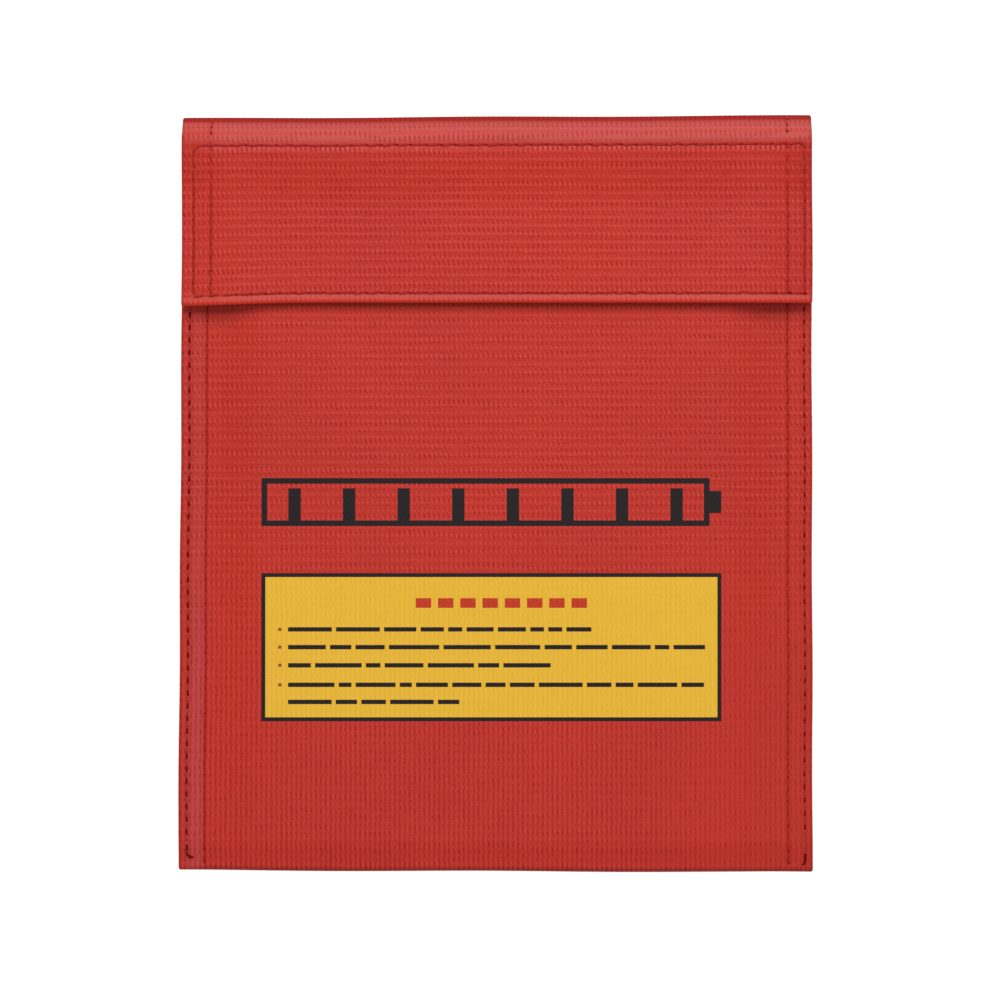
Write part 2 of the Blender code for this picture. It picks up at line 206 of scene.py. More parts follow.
def outline(points):
    # the sewn pouch isn't quite square: its edges lean and its corners differ
    x, y, z = points[..., 0], points[..., 1], points[..., 2]
    up = np.clip((y - cadLow.y) / (cadHigh.y - cadLow.y), 0.0, 1.0)
    over = (x + strip["halfWidth"]) / (2 * strip["halfWidth"])
    newX = x + edgePull("left", up) * smooth(-x, *lean["side"])
    newX = newX + edgePull("right", up) * smooth(x, *lean["side"])
    newX = newX + 0.10 * mm * np.sin(y / (61 * mm) * turn + 0.6) * smooth(np.abs(x), 70 * mm, 90 * mm)
    newY = y + edgePull("top", over) * smooth(y, *lean["end"])
    newY = newY + edgePull("bottom", over) * smooth(-y, *lean["end"])
    newY = newY + 0.12 * mm * np.sin(x / (83 * mm) * turn + 1.9) * smooth(np.abs(y), 96 * mm, 108 * mm)
    return np.stack([newX, newY, z], -1)


# the three lengths of the strip, as surfaces

def crossSection(across, layer):
    # from a place across the strip to x and the depth under the panel's middle; layer is 1 outside, -1 inside
    side = np.sign(across)
    beyond = np.abs(across) - panelEdge
    angle = np.clip(beyond / turnRadius, 0.0, math.pi)
    radius = turnRadius + half * layer
    onTurn = panelEdge + radius * np.sin(angle)
    onHem = panelEdge - (beyond - turnLength)
    x = np.where(beyond <= 0.0, np.abs(across), np.where(beyond < turnLength, onTurn, onHem))
    depth = np.where(beyond <= 0.0, -half * layer, turnRadius - radius * np.cos(angle))
    return side * x, depth


def frontHeight(x, y):
    far = np.abs(x)
    panel = 1.0 - smooth(far, shapes["shoulderInner"], shapes["shoulderOuter"])
    height = marginLevel + (frontLevel - marginLevel) * panel
    height = height + panel * shapes["frontWave"] * waves(x, y, 11, 6, 45 * mm, 120 * mm)
    middle = (strip["seamRow"] + strip["hemRow"]) / 2
    spread = (strip["seamRow"] - strip["hemRow"]) / 2
    pillow = np.clip(1.0 - ((far - middle) / spread) ** 2, 0.0, 1.0)
    fullness = np.where(x < 0.0, 1.0 + 0.5 * smooth(-y, -20 * mm, 60 * mm), shapes["rightPillow"])
    height = height + shapes["marginPillow"] * pillow * fullness
    for name in ("leftSeam", "rightSeam", "leftHem", "rightHem"):
        row = rows[name]
        inward = -1.0 if row["x"] > 0.0 else 1.0
        height = height + row["deep"] * rowRelief(x - row["x"], y, row["pitch"], None, inward)
    return height - shapes["bottomTaper"] * smooth(-y, 101 * mm, 109 * mm)


def squared(value):
    # turns a round fold into a pressed one
    return np.sign(value) * np.abs(value) ** shapes["foldSquareness"]


def frontPlace(x, depth, along):
    # along runs from the mouth down the front and into the bottom fold
    flatRun = strip["mouth"] - bottomStart
    arcRun = bottomDepth * math.pi / 2
    angle = np.clip((along - flatRun) / arcRun, 0.0, 1.0) * math.pi / 2
    flatY = strip["mouth"] - np.minimum(along, flatRun)
    top = frontHeight(x, flatY)
    y = flatY - (bottomDepth - depth) * squared(np.sin(angle))
    middle, rise = (top + backLevel) / 2, (top - backLevel) / 2
    z = np.where(along <= flatRun, top - depth, middle + (rise - depth) * squared(np.cos(angle)))
    return np.stack([x + 0 * y, y, z], -1)


frontLength = strip["mouth"] - bottomStart + bottomDepth * math.pi / 2
creaseTangent = shapes["creaseRadius"] * math.tan((math.pi - bandSlope) / 2)
bendTangent = shapes["bendRadius"] * math.tan(bandSlope / 2)
bandRun = float(np.linalg.norm(bendAt - creaseAt))
bandFlat = bandRun - creaseTangent - bendTangent
upBand = np.array([-math.cos(bandSlope), math.sin(bandSlope)])


def backPlace(x, depth, along):
    # along runs from the bottom fold over the back, round the crease and half way up the band
    arcRun = bottomDepth * math.pi / 2
    flatRun = creaseAt[0] - creaseTangent - bottomStart
    bendRun = shapes["creaseRadius"] * (math.pi - bandSlope)
    angle = (1.0 + np.clip(along / arcRun, 0.0, 1.0)) * math.pi / 2
    top = frontHeight(x, bottomStart + 0 * along)
    middle, rise = (top + backLevel) / 2, (top - backLevel) / 2
    foldY = bottomStart - (bottomDepth - depth) * squared(np.sin(angle))
    foldZ = middle + (rise - depth) * squared(np.cos(angle))
    flatY = bottomStart + (along - arcRun)
    past = along - arcRun - flatRun
    swing = np.clip(past / shapes["creaseRadius"], 0.0, math.pi - bandSlope)
    near = np.abs(past - bendRun / 2)
    # the hem layer is pressed against the panel inside the crease
    press = (hemDrop - 1.1 * 2 * half) * (1.0 - smooth(near, 1 * mm, 4 * mm))
    squeezed = np.where(depth > 2 * half, depth - press, depth)
    radius = shapes["creaseRadius"] - squeezed
    centre = np.array([creaseAt[0] - creaseTangent, creaseAt[1] + shapes["creaseRadius"]])
    swingY = centre[0] + radius * np.sin(swing)
    swingZ = centre[1] - radius * np.cos(swing)
    climb = np.maximum(past - bendRun, 0.0)
    y = np.where(along < arcRun, foldY, np.where(past <= 0.0, flatY, swingY + climb * upBand[0]))
    flatZ = backLevel + squeezed
    z = np.where(along < arcRun, foldZ, np.where(past <= 0.0, flatZ, swingZ + climb * upBand[1]))
    for name in ("leftSeam", "rightSeam", "leftHem", "rightHem"):
        row = rows[name]
        onBack = (along > arcRun) & (past < 0.0)
        z = z + np.where(onBack, -0.4 * rowRelief(x - row["x"], y, row["pitch"]), 0.0)
    return np.stack([x + 0 * y, y, z], -1)


backLength = (
    bottomDepth * math.pi / 2
    + creaseAt[0] - creaseTangent - bottomStart
    + shapes["creaseRadius"] * (math.pi - bandSlope)
    + bandFlat / 2
)
flapFlatStart = bandFlat / 2 + shapes["bendRadius"] * bandSlope
flapTurnStart = flapFlatStart + bendAt[0] - bendTangent - (strip["flapEdge"] + half + turnRadius)
flapBase = flapFlatStart + bendAt[0] - bendTangent  # along plus y, on the flap's flat run


settle = {
    "wave": 0.10 * mm,
    "droop": 2.2 * mm,  # at the sides
    "sink": 1.15 * mm,  # in the middle
    "edgeRoll": 0.09 * mm,
    "rollPlace": 0.9 * mm,
    "rollWidth": 0.8 * mm,
    "sag": 0.05,  # in mm, along the whole free edge
    "leftSag": 0.85,  # in mm, at its left end
}


def flapSettle(x, y):
    # how far the closed flap lies off its level: soft waves, sides that droop, rows and a rolled edge
    far = np.abs(x)
    onFlap = 1.0 - smooth(y, 99 * mm, 104 * mm)
    droop = settle["droop"] * smooth(far, 75 * mm, 92.5 * mm) * (1.0 - smooth(y, 86 * mm, 103.5 * mm))
    sink = settle["sink"] * (1.0 - smooth(y, 84 * mm, 101 * mm)) * (1.0 - smooth(far, 60 * mm, 90 * mm))
    height = settle["wave"] * onFlap * waves(x, y, 23, 6, 40 * mm, 110 * mm) - droop - sink
    sideEnds = (ringLow.y, ringHigh.y)
    for name in ("flapLeftHem", "flapRightHem"):
        row = rows[name]
        height = height + row["deep"] * onFlap * rowRelief(x - row["x"], y, row["pitch"])
    for name in ("flapLeft", "flapRight"):
        row = rows[name]
        height = height + row["deep"] * rowRelief(x - row["x"], y, row["pitch"], sideEnds)
    ends = (rows["flapLeft"]["x"], rows["flapRight"]["x"])
    for name, inward in (("flapTop", -1.0), ("flapBottom", 1.0)):
        row = rows[name]
        height = height + row["deep"] * rowRelief(y - row["y"], x, row["pitch"], ends, inward)
    fromRoll = (y - strip["flapEdge"] - settle["rollPlace"]) / settle["rollWidth"]
    return height + settle["edgeRoll"] * np.exp(-(fromRoll ** 2))


def flapSag(x, y):
    # the free edge hangs a little lower at its ends
    low = 1.0 - smooth(y, 60 * mm, 92 * mm)
    leftEnd = smooth(-x, 55 * mm, 92 * mm)
    return low * (-settle["sag"] - settle["leftSag"] * leftEnd) * mm


def flapPlace(x, depth, along):
    # along runs up the band's second half, over the bend, down the flap and under its free edge
    start = creaseAt + upBand * (creaseTangent + bandFlat / 2)
    outward = np.array([math.sin(bandSlope), math.cos(bandSlope)])
    bandY = start[0] + along * upBand[0] - depth * outward[0]
    bandZ = start[1] + along * upBand[1] - depth * outward[1]
    past = along - bandFlat / 2
    swing = np.clip(past / shapes["bendRadius"], 0.0, bandSlope)
    centre = np.array([bendAt[0] - bendTangent, bendAt[1] - shapes["bendRadius"]])
    radius = shapes["bendRadius"] - depth
    swingY = centre[0] + radius * np.sin(bandSlope - swing)
    swingZ = centre[1] + radius * np.cos(bandSlope - swing)
    beyond = along - flapFlatStart
    flatY = centre[0] - np.maximum(beyond, 0.0)
    edge = strip["flapEdge"] + half + turnRadius
    under = along - flapTurnStart
    tuck = np.clip(under / turnRadius, 0.0, math.pi)
    tuckRadius = turnRadius - depth
    tuckY = edge - tuckRadius * np.sin(tuck) + np.maximum(under - turnLength, 0.0)
    tuckZ = flapLevel - turnRadius + tuckRadius * np.cos(tuck)
    stages = [past <= 0.0, beyond <= 0.0, under <= 0.0]
    y = np.select(stages, [bandY, swingY, flatY], tuckY)
    z = np.select(stages, [bandZ, swingZ, flapLevel - depth], tuckZ)
    z = z + flapSettle(x, y)
    y = y + flapSag(x, y)
    return np.stack([x + 0 * y, y, z], -1)


flapLength = flapTurnStart + turnLength + strip["flapHemEdge"] - (strip["flapEdge"] + half + turnRadius)
sheetWidth = 2 * (panelEdge + turnLength + hemRun)


# node trees: arithmetic on a socket adds Math nodes

class Wire:
    def __init__(self, tree, socket=None):
        self.tree, self.socket = tree, socket

    def node(self, kind, settings=None, sockets=None, out=0):
        made = self.tree.nodes.new(kind)
        for key, value in (settings or {}).items():
            setattr(made, key, value)
        for key, value in (sockets or {}).items():
            for item in value if isinstance(value, list) else [value]:
                if isinstance(item, Wire):
                    self.tree.links.new(item.socket, made.inputs[key])
                else:
                    made.inputs[key].default_value = item
        return Wire(self.tree, made.outputs[out])

    def also(self, out):
        # another output of the same node
        return Wire(self.tree, self.socket.node.outputs[out])

    def math(self, operation, *values):
        return self.node("ShaderNodeMath", {"operation": operation}, dict(enumerate([self, *values])))

    def flip(self, operation, value):
        return self.node("ShaderNodeMath", {"operation": operation}, {0: value, 1: self})

    def __add__(self, value):
        return self.math("ADD", value)

    def __radd__(self, value):
        return self.flip("ADD", value)

    def __sub__(self, value):
        return self.math("SUBTRACT", value)

    def __rsub__(self, value):
        return self.flip("SUBTRACT", value)

    def __mul__(self, value):
        return self.math("MULTIPLY", value)

    def __rmul__(self, value):
        return self.flip("MULTIPLY", value)

    def __truediv__(self, value):
        return self.math("DIVIDE", value)

    def __neg__(self):
        return self.math("MULTIPLY", -1.0)

    def cos(self):
        return self.math("COSINE")

    def within(self, rise, full, fall, end):
        # 1 from full to fall, eased down to 0 at rise and at end
        return self.between(rise, full) * (1.0 - self.between(fall, end))

    def between(self, low, high):
        # 0 below low, 1 above high, eased in between
        sockets = {"Value": self, "From Min": low, "From Max": high}
        return self.node("ShaderNodeMapRange", {"interpolation_type": "SMOOTHSTEP"}, sockets)


def newMaterial(name):
    material = bpy.data.materials.new(name)
    material.use_nodes = True
    material.node_tree.nodes.clear()
    return material, Wire(material.node_tree)


def finishMaterial(board, constants, varying):
    # a Principled shader: constants sit on its sockets, varying ones are linked
    tree = board.tree
    shader = tree.nodes.new("ShaderNodeBsdfPrincipled")
    output = tree.nodes.new("ShaderNodeOutputMaterial")
    for key, value in constants.items():
        shader.inputs[key].default_value = value
    for key, wire in varying.items():
        tree.links.new(wire.socket, shader.inputs[key])
    tree.links.new(shader.outputs[0], output.inputs[0])


def rgba(colour):
    return (*colour, 1.0)


def colourMix(board, share, low, high):
    low = low if isinstance(low, Wire) else rgba(low)
    high = high if isinstance(high, Wire) else rgba(high)
    settings = {"data_type": "RGBA", "clamp_factor": True}
    return board.node("ShaderNodeMix", settings, {0: share, 6: low, 7: high}, 2)


def scaled(board, colour, factor):
    # a colour made lighter or darker by a number
    return board.node("ShaderNodeVectorMath", {"operation": "SCALE"}, {0: colour, 3: factor})


def noiseOn(board, place, size, detail=2.0):
    # soft noise with patches of about a given size
    sockets = {"Vector": place, "Scale": 1.0 / size, "Detail": detail, "Roughness": 0.5}
    return board.node("ShaderNodeTexNoise", None, sockets)


weave = {
    "ribPitch": 1.44 * mm,
    "rowPitch": 2.385 * mm,
    "relief": 0.018 * mm,
    "ribWander": 0.30,
    "rowWander": 0.10,
    "ribsFrom": (88 * mm, 165 * mm),  # from here to here down the front, ribs take over from rows
    "slip": 14.0,  # radians by which the finer beats lose their step
    "speckle": 2.4,
    "streak": 0.10,  # a streak's width for its length
}
stripBefore = frontLength + backLength  # along the strip, where the flap's part starts
topRowAlong = stripBefore + flapBase - rows["flapTop"]["y"]
bottomRowAlong = stripBefore + flapBase - rows["flapBottom"]["y"]
creaseAlong = stripBefore - bandFlat / 2


def stretched(board, place, factors):
    return board.node("ShaderNodeVectorMath", {"operation": "MULTIPLY"}, {0: place, 1: factors})


def weavePattern(board):
    # the cloth's weave from the strip's own measures: x across it, y along it from the mouth
    place = board.node("ShaderNodeUVMap", {"uv_map": "weave"})
    split = board.node("ShaderNodeSeparateXYZ", None, {0: place})
    across = split
    along = split.also(1)
    ribDrift = noiseOn(board, place, 9 * mm, 1.0) - 0.5
    rowDrift = noiseOn(board, place, 30 * mm, 1.0) - 0.5
    ribs = (across / weave["ribPitch"] + ribDrift * weave["ribWander"]) * turn
    courses = (along / weave["rowPitch"] + rowDrift * weave["rowWander"]) * turn
    low = along.between(*weave["ribsFrom"])
    onFlap = along.between(stripBefore - 8 * mm, stripBefore + 14 * mm)
    low = low * (1.0 - along.between(frontLength - 4 * mm, frontLength + 30 * mm))
    band = along.within(
        creaseAlong - 0.5 * mm, creaseAlong + 0.5 * mm, topRowAlong - 1.2 * mm, topRowAlong + 0.2 * mm
    )
    patches = noiseOn(board, place, 22 * mm, 2.0)
    uneven = 0.55 + patches * 0.9
    rowPower = (0.86 - 0.56 * low + 0.12 * onFlap) * uneven
    doublePower = (0.36 - 0.32 * low + 0.12 * onFlap) * uneven
    ribPower = 0.72 + 0.58 * low + 0.55 * band
    leftward = 0.60 - 0.36 * low - 0.30 * band
    halfPower = 0.48 - 0.24 * low + 0.45 * band
    slip = (noiseOn(board, place, 24 * mm, 1.0) - 0.5) * weave["slip"]
    slipTwo = (noiseOn(board, place, 19 * mm, 1.0) - 0.5) * weave["slip"]
    lengthwise = stretched(board, place, (1.0, weave["streak"], 1.0))
    crosswise = stretched(board, place, (weave["streak"], 1.0, 1.0))
    streaks = (noiseOn(board, lengthwise, 0.8 * mm, 2.0) - 0.5) * (1.0 + low)
    streaks = streaks + (noiseOn(board, crosswise, 0.8 * mm, 2.0) - 0.5) * (1.8 - low)
    speckle = (noiseOn(board, place, 0.9 * mm, 2.0) - 0.5) * weave["speckle"]
    speckle = speckle + (noiseOn(board, place, 0.45 * mm, 1.0) - 0.5) * weave["speckle"]
    shared = (
        ribs.cos() * ribPower
        + (ribs - courses + slip).cos() * leftward
        + (ribs + courses + slipTwo).cos() * 0.28
        + (ribs - courses * 0.5 - slipTwo).cos() * halfPower
        + (ribs + courses * 0.5 - slip).cos() * (halfPower * 0.6)
        + speckle
        + streaks
    )
    rowWave = courses.cos() * rowPower
    # the tint is the weave's pattern with its light and shade painted in: raised threads paler, grooves
    # darker
    tint = shared + rowWave + (courses * 2.0).cos() * doublePower
    tint = tint - tint * tint * 0.07 * (1.0 + low)
    tint = tint * (1.0 - band * 0.32 - low * across.between(25 * mm, 75 * mm) * 0.30)
    relief = shared + rowWave * 0.5
    front = 1.0 - along.between(frontLength - 1 * mm, frontLength)
    zones = {
        "across": across, "along": along, "front": front, "low": low, "band": band,
        "patches": patches, "ribWave": ribs.cos(),
    }
    return place, tint, relief, zones


def bumped(board, height, depth):
    return board.node("ShaderNodeBump", None, {"Strength": 1.0, "Distance": depth, "Height": height})


coating = {
    "base": ((0.372, 0.0165, 0.0080), (0.398, 0.0188, 0.0094)),
    # painted sheen beside the left seam
    "rubbed": (0.372, 0.0315, 0.0300),
    # painted sheen on the band above the mouth
    "band": ((0.305, 0.0150, 0.0095), (0.372, 0.0345, 0.0290)),
    # painted highlight on the weave's crests
    "crest": (0.43, 0.050, 0.040),
    # painted shade in the weave's valleys
    "valley": (0.300, 0.0085, 0.0040),
    # painted shade in the crease behind the band
    "crease": (0.225, 0.0060, 0.0025),
    # painted highlight beside the flap's rows
    "lip": (0.50, 0.080, 0.068),
    # painted highlight on the ridge before the free edge
    "ridge": (0.44, 0.060, 0.046),
    # painted shade: a deeper, more saturated red on the roll of the flap's free edge
    "rim": (0.43, 0.0190, 0.0055),
    # painted shadow under the closed flap and just below its free edge
    "covered": (0.400, 0.0135, 0.0050),
    # colour of the weave's painted light, added on the raised threads
    "tint": (0.0120, 0.0036, 0.0034),
    "specular": 0.22,
    "roughness": 0.50,
}


def bandSheenAndShade(board, tone, tint, zones):
    # painted light: the band above the mouth is painted paler and pinker as a sheen, and the crease behind it
    # darker as shade
    across, along = zones["across"], zones["along"]
    climb = along.between(creaseAlong + 1.5 * mm, stripBefore + bandFlat / 2)
    bandSheen = colourMix(board, climb, *coating["band"])
    inBand = across.between(-86.0 * mm, -78.0 * mm)
    # painted sheen on the band, weaker at its left end
    tone = colourMix(board, zones["band"] * (0.35 + inBand * 0.65), tone, bandSheen)
    # painted highlight: the weave's crests are mixed toward a paler pink
    tone = colourMix(board, tint.between(0.6, 2.6) * 0.30, tone, coating["crest"])
    # painted shade: the crease behind the band is painted darker
    creaseShadeZone = along.within(
        creaseAlong - 2.0 * mm, creaseAlong - 0.5 * mm, creaseAlong + 2.0 * mm, creaseAlong + 3.2 * mm
    )
    tone = colourMix(board, creaseShadeZone * 0.95, tone, coating["crease"])
    # painted shade: the weave's valleys are mixed toward a deeper red
    tone = colourMix(board, (0.0 - tint).between(0.5, 2.4) * 0.5, tone, coating["valley"])
    return tone, creaseShadeZone


def glintsAndRimShade(board, tone, place, zones):
    # painted highlights: beside the flap's rows the pulled-up ribs catch the light and the ridge before the
    # free edge is painted paler; returns the flap's rim, painted in shade, as well
    across, along = zones["across"], zones["along"]
    # painted highlights on the ribs below the top row and above the bottom row
    lipGlints = along.within(
        topRowAlong + 0.3 * mm, topRowAlong + 0.7 * mm, topRowAlong + 1.1 * mm, topRowAlong + 1.6 * mm
    )
    above = along.within(
        bottomRowAlong - 1.5 * mm, bottomRowAlong - 1.0 * mm,
        bottomRowAlong - 0.7 * mm, bottomRowAlong - 0.3 * mm,
    )
    lipGlints = lipGlints + above * 0.8
    lipGlints = lipGlints * (0.25 + noiseOn(board, place, 1.9 * mm, 1.0).between(0.44, 0.62) * 0.75)
    lipGlints = lipGlints * across.within(-87 * mm, -83 * mm, 84 * mm, 88 * mm)
    tone = colourMix(board, lipGlints * zones["ribWave"].between(-0.6, 0.9) * 0.55, tone, coating["lip"])
    # painted highlight on the ridge before the flap's free edge
    ridge = along.within(
        bottomRowAlong + 0.3 * mm, bottomRowAlong + 0.9 * mm,
        bottomRowAlong + 1.3 * mm, bottomRowAlong + 1.9 * mm,
    )
    tone = colourMix(board, ridge * 0.6, tone, coating["ridge"])
    # painted shade: from the roll of the free edge on, the cloth is painted a deeper, more saturated red
    rim = along.between(bottomRowAlong + 1.8 * mm, bottomRowAlong + 2.4 * mm)
    return colourMix(board, rim * 0.9, tone, coating["rim"]), rim


def paintedShadeShare(zones):
    # painted shade and shadow: how much of the tone is left at the outer edges, on the hems and along the
    # bottom fold, and towards the lower right
    across, along = zones["across"], zones["along"]
    # painted shade: darker outer strips beyond the seams
    outerStripShade = 1.0 - across.between(-91.0 * mm, -90.0 * mm) + across.between(90.2 * mm, 91.2 * mm)
    # painted shadow of the bottom fold, a dark line across the hem
    hem = along.between(frontLength - 3.6 * mm, frontLength - 2.7 * mm) * zones["front"]
    worn = 1.0 - outerStripShade * 0.08 - hem * (0.10 + 0.16 * across.between(-88 * mm, -84 * mm))
    # painted shade where the bottom fold turns away
    foldEdgeShade = along.between(frontLength - 1.6 * mm, frontLength - 0.3 * mm) * zones["front"]
    # and painted shade, darker towards the lower right
    return worn - foldEdgeShade * 0.14 - zones["low"] * across.between(60 * mm, 90 * mm) * 0.05


def coatedCloth():
    # a satin red coating; a paler, pinker sheen is painted beside the left seam and on the band above the
    # mouth
    material, board = newMaterial("coatedRedCloth")
    place, tint, relief, zones = weavePattern(board)
    across, along = zones["across"], zones["along"]
    broad = noiseOn(board, place, 60 * mm, 2.0)
    tone = colourMix(board, broad.between(0.3, 0.7), *coating["base"])
    # painted sheen: the margin beside the left seam is painted paler and pinker, more so lower down
    rubbed = across.within(-91.0 * mm, -88.0 * mm, -86.0 * mm, -83.6 * mm)
    rubbed = rubbed * zones["front"] * (0.35 + zones["low"] * 0.65)
    tone = colourMix(board, rubbed, tone, coating["rubbed"])
    tone, creaseShadeZone = bandSheenAndShade(board, tone, tint, zones)
    tone, rim = glintsAndRimShade(board, tone, place, zones)
    # the weave's painted light is mostly taken off the rim's painted shade
    tint = tint * (1.0 - rim * 0.75)
    # painted shadow: a deeper red is painted on what the closed flap covers and on the strip of its shadow
    # just below the free edge
    covered = strip["mouth"] - strip["flapEdge"]
    kept = (1.0 - along.between(covered + 1.0 * mm, covered + 5.0 * mm)) * zones["front"]
    tone = colourMix(board, kept * 0.75, tone, coating["covered"])
    mottled = (noiseOn(board, place, 5 * mm, 3.0) - 0.5) * 0.10
    # the painted shade and shadow scale the tone
    shade = (1.0 + tint * 0.014 + mottled) * paintedShadeShare(zones)
    # raised threads catch paler light, so most of the tint is added and little of it scales
    colour = board.node(
        "ShaderNodeVectorMath",
        {"operation": "MULTIPLY_ADD"},
        {0: tint, 1: coating["tint"], 2: scaled(board, tone, shade)},
    )
    rough = coating["roughness"] + (broad - 0.5) * 0.10 - tint * 0.02 + creaseShadeZone * 0.45
    finishMaterial(
        board,
        {"Specular IOR Level": coating["specular"]},
        {"Base Color": colour, "Roughness": rough, "Normal": bumped(board, relief, weave["relief"])},
    )
    return material


def bareCloth():
    # the uncoated inner face: off-white glass yarn
    material, board = newMaterial("bareGlassCloth")
    place, tint, relief, zones = weavePattern(board)
    fibre = noiseOn(board, place, 0.35 * mm, 3.0)
    base = colourMix(board, fibre, (0.50, 0.45, 0.37), (0.66, 0.62, 0.53))
    blush = colourMix(board, zones["patches"].between(0.45, 0.8) * 0.25, base, (0.62, 0.36, 0.28))
    # the weave's painted light and shade, as on the coating
    colour = scaled(board, blush, 1.0 + tint * 0.10)
    normal = bumped(board, relief + fibre * 0.8, weave["relief"] * 2.4)
    finishMaterial(
        board, {"Specular IOR Level": 0.3, "Roughness": 0.78}, {"Base Color": colour, "Normal": normal}
    )
    return material


ink = {"wear": 0.5, "weaveShade": 0.026}


def inkOn(name, colour, worn, roughness):
    # screen ink over the weave: thinner on the crests, with the ground showing in small specks
    material, board = newMaterial(name)
    place, tint, relief, zones = weavePattern(board)
    specks = noiseOn(board, place, 0.5 * mm, 2.0)
    thin = (specks + tint * 0.05).between(0.66, 0.86) * ink["wear"]
    shade = 1.0 + tint * ink["weaveShade"] + (noiseOn(board, place, 7 * mm, 2.0) - 0.5) * 0.06
    tone = scaled(board, colourMix(board, thin, colour, worn), shade)
    normal = bumped(board, relief, weave["relief"] * 0.7)
    finishMaterial(
        board, {"Specular IOR Level": 0.15, "Roughness": roughness}, {"Base Color": tone, "Normal": normal}
    )
    return material


def sewingThread(name, light, dark, twist, gloss=0.12):
    # plied yarn: slanting plies with painted shade in the dark lines between them
    material, board = newMaterial(name)
    place = board.node("ShaderNodeTexCoord", None, None, 3)
    split = board.node("ShaderNodeSeparateXYZ", None, {0: place})
    y = split.also(1)
    plies = ((split + y) * (turn / twist)).cos()
    fuzz = noiseOn(board, place, 0.25 * mm, 2.0)
    colour = colourMix(board, (plies * 0.35 + fuzz).between(0.1, 0.9), dark, light)
    normal = bumped(board, plies + fuzz, 0.03 * mm)
    finishMaterial(
        board, {"Specular IOR Level": gloss, "Roughness": 0.7}, {"Base Color": colour, "Normal": normal}
    )
    return material


def tapeFibre(name, light, dark, roughness, pitch, gloss):
    # woven or moulded nylon: fine ribs both ways
    material, board = newMaterial(name)
    place = board.node("ShaderNodeTexCoord", None, None, 3)
    split = board.node("ShaderNodeSeparateXYZ", None, {0: place})
    y = split.also(1)
    grain = (split * (turn / pitch)).cos() * (y * (turn / pitch)).cos()
    fuzz = noiseOn(board, place, 0.6 * mm, 3.0)
    colour = colourMix(board, grain * 0.25 + fuzz, dark, light)
    normal = bumped(board, grain + fuzz, 0.05 * mm)
    finishMaterial(
        board, {"Specular IOR Level": gloss, "Roughness": roughness}, {"Base Color": colour, "Normal": normal}
    )
    return material


plyPitch = 0.42 * mm
holePitch = 0.9 * mm

finishes = {
    "cloth": coatedCloth(),
    "inner": bareCloth(),
    "yellow": inkOn("labelYellow", (0.605, 0.350, 0.026), (0.64, 0.41, 0.07), 0.55),
    "black": inkOn("printBlack", (0.010, 0.006, 0.007), (0.07, 0.008, 0.007), 0.60),
    "redInk": inkOn("headingRed", (0.40, 0.028, 0.010), (0.58, 0.27, 0.02), 0.60),
    "dotInk": inkOn("dotBrown", (0.24, 0.035, 0.010), (0.58, 0.27, 0.02), 0.60),
    "seamThread": sewingThread("seamThread", (0.40, 0.036, 0.030), (0.30, 0.016, 0.011), plyPitch),
    "hemThread": sewingThread("hemThread", (0.36, 0.0205, 0.0135), (0.28, 0.0130, 0.0085), plyPitch),
    "rowThread": sewingThread("rowThread", (0.36, 0.0200, 0.0150), (0.27, 0.0125, 0.0095), plyPitch),
    "tapeThread": sewingThread("tapeThread", (0.05, 0.045, 0.045), (0.015, 0.013, 0.013), plyPitch),
    # dark discs painted as the shade in the needle holes, also used for the back stitches' thread
    "hole": sewingThread("needleHole", (0.160, 0.0050, 0.0045), (0.110, 0.0030, 0.0030), holePitch, 0.0),
    "faintHole": sewingThread("needleMark", (0.260, 0.0100, 0.0070), (0.210, 0.0070, 0.0055), holePitch, 0.0),
    "hookBase": tapeFibre("hookTapeWeave", (0.020, 0.020, 0.021), (0.006, 0.006, 0.006), 0.8, 0.7 * mm, 0.2),
    "hooks": tapeFibre("hookNylon", (0.060, 0.060, 0.063), (0.022, 0.022, 0.023), 0.38, 0.9 * mm, 0.5),
    "loopBase": tapeFibre("loopTapeWeave", (0.016, 0.016, 0.017), (0.005, 0.005, 0.005), 0.9, 0.6 * mm, 0.1),
    "loops": tapeFibre("loopPile", (0.060, 0.060, 0.063), (0.026, 0.026, 0.027), 0.8, 0.8 * mm, 0.2),
}
print("materials ready")


# meshes

meshing = {
    "merge": 0.001 * mm,
    "sharpAngle": 55,
    "turnSteps": 6,  # steps round a hem's turn; the corner patches must match the sheets there
    "cornerSteps": 4,
}


def newPiece(name, mesh):
    piece = bpy.data.objects.new(name, mesh)
    bpy.context.scene.collection.objects.link(piece)
    return piece


def meshFrom(name, points, faces, stripPlace, tags, materials):
    # closed mesh with its place on the strip as a UV map, its doubles merged and its faces pointing out
    mesh = bpy.data.meshes.new(name)
    mesh.from_pydata(points.tolist(), [], faces.tolist())
    for material in materials:
        mesh.materials.append(material)
    corners = np.empty(len(mesh.loops), np.int32)
    mesh.loops.foreach_get("vertex_index", corners)
    layer = mesh.uv_layers.new(name="weave")
    layer.data.foreach_set("uv", stripPlace[corners].astype(np.float32).ravel())
    mesh.polygons.foreach_set("material_index", tags.astype(np.int32))
    maker = bmesh.new()
    maker.from_mesh(mesh)
    bmesh.ops.remove_doubles(maker, verts=maker.verts, dist=meshing["merge"])
    if maker.calc_volume(signed=True) < 0.0:
        bmesh.ops.reverse_faces(maker, faces=maker.faces)
    maker.to_mesh(mesh)
    maker.free()
    mesh.shade_smooth()
    mesh.set_sharp_from_angle(angle=math.radians(meshing["sharpAngle"]))
    return mesh


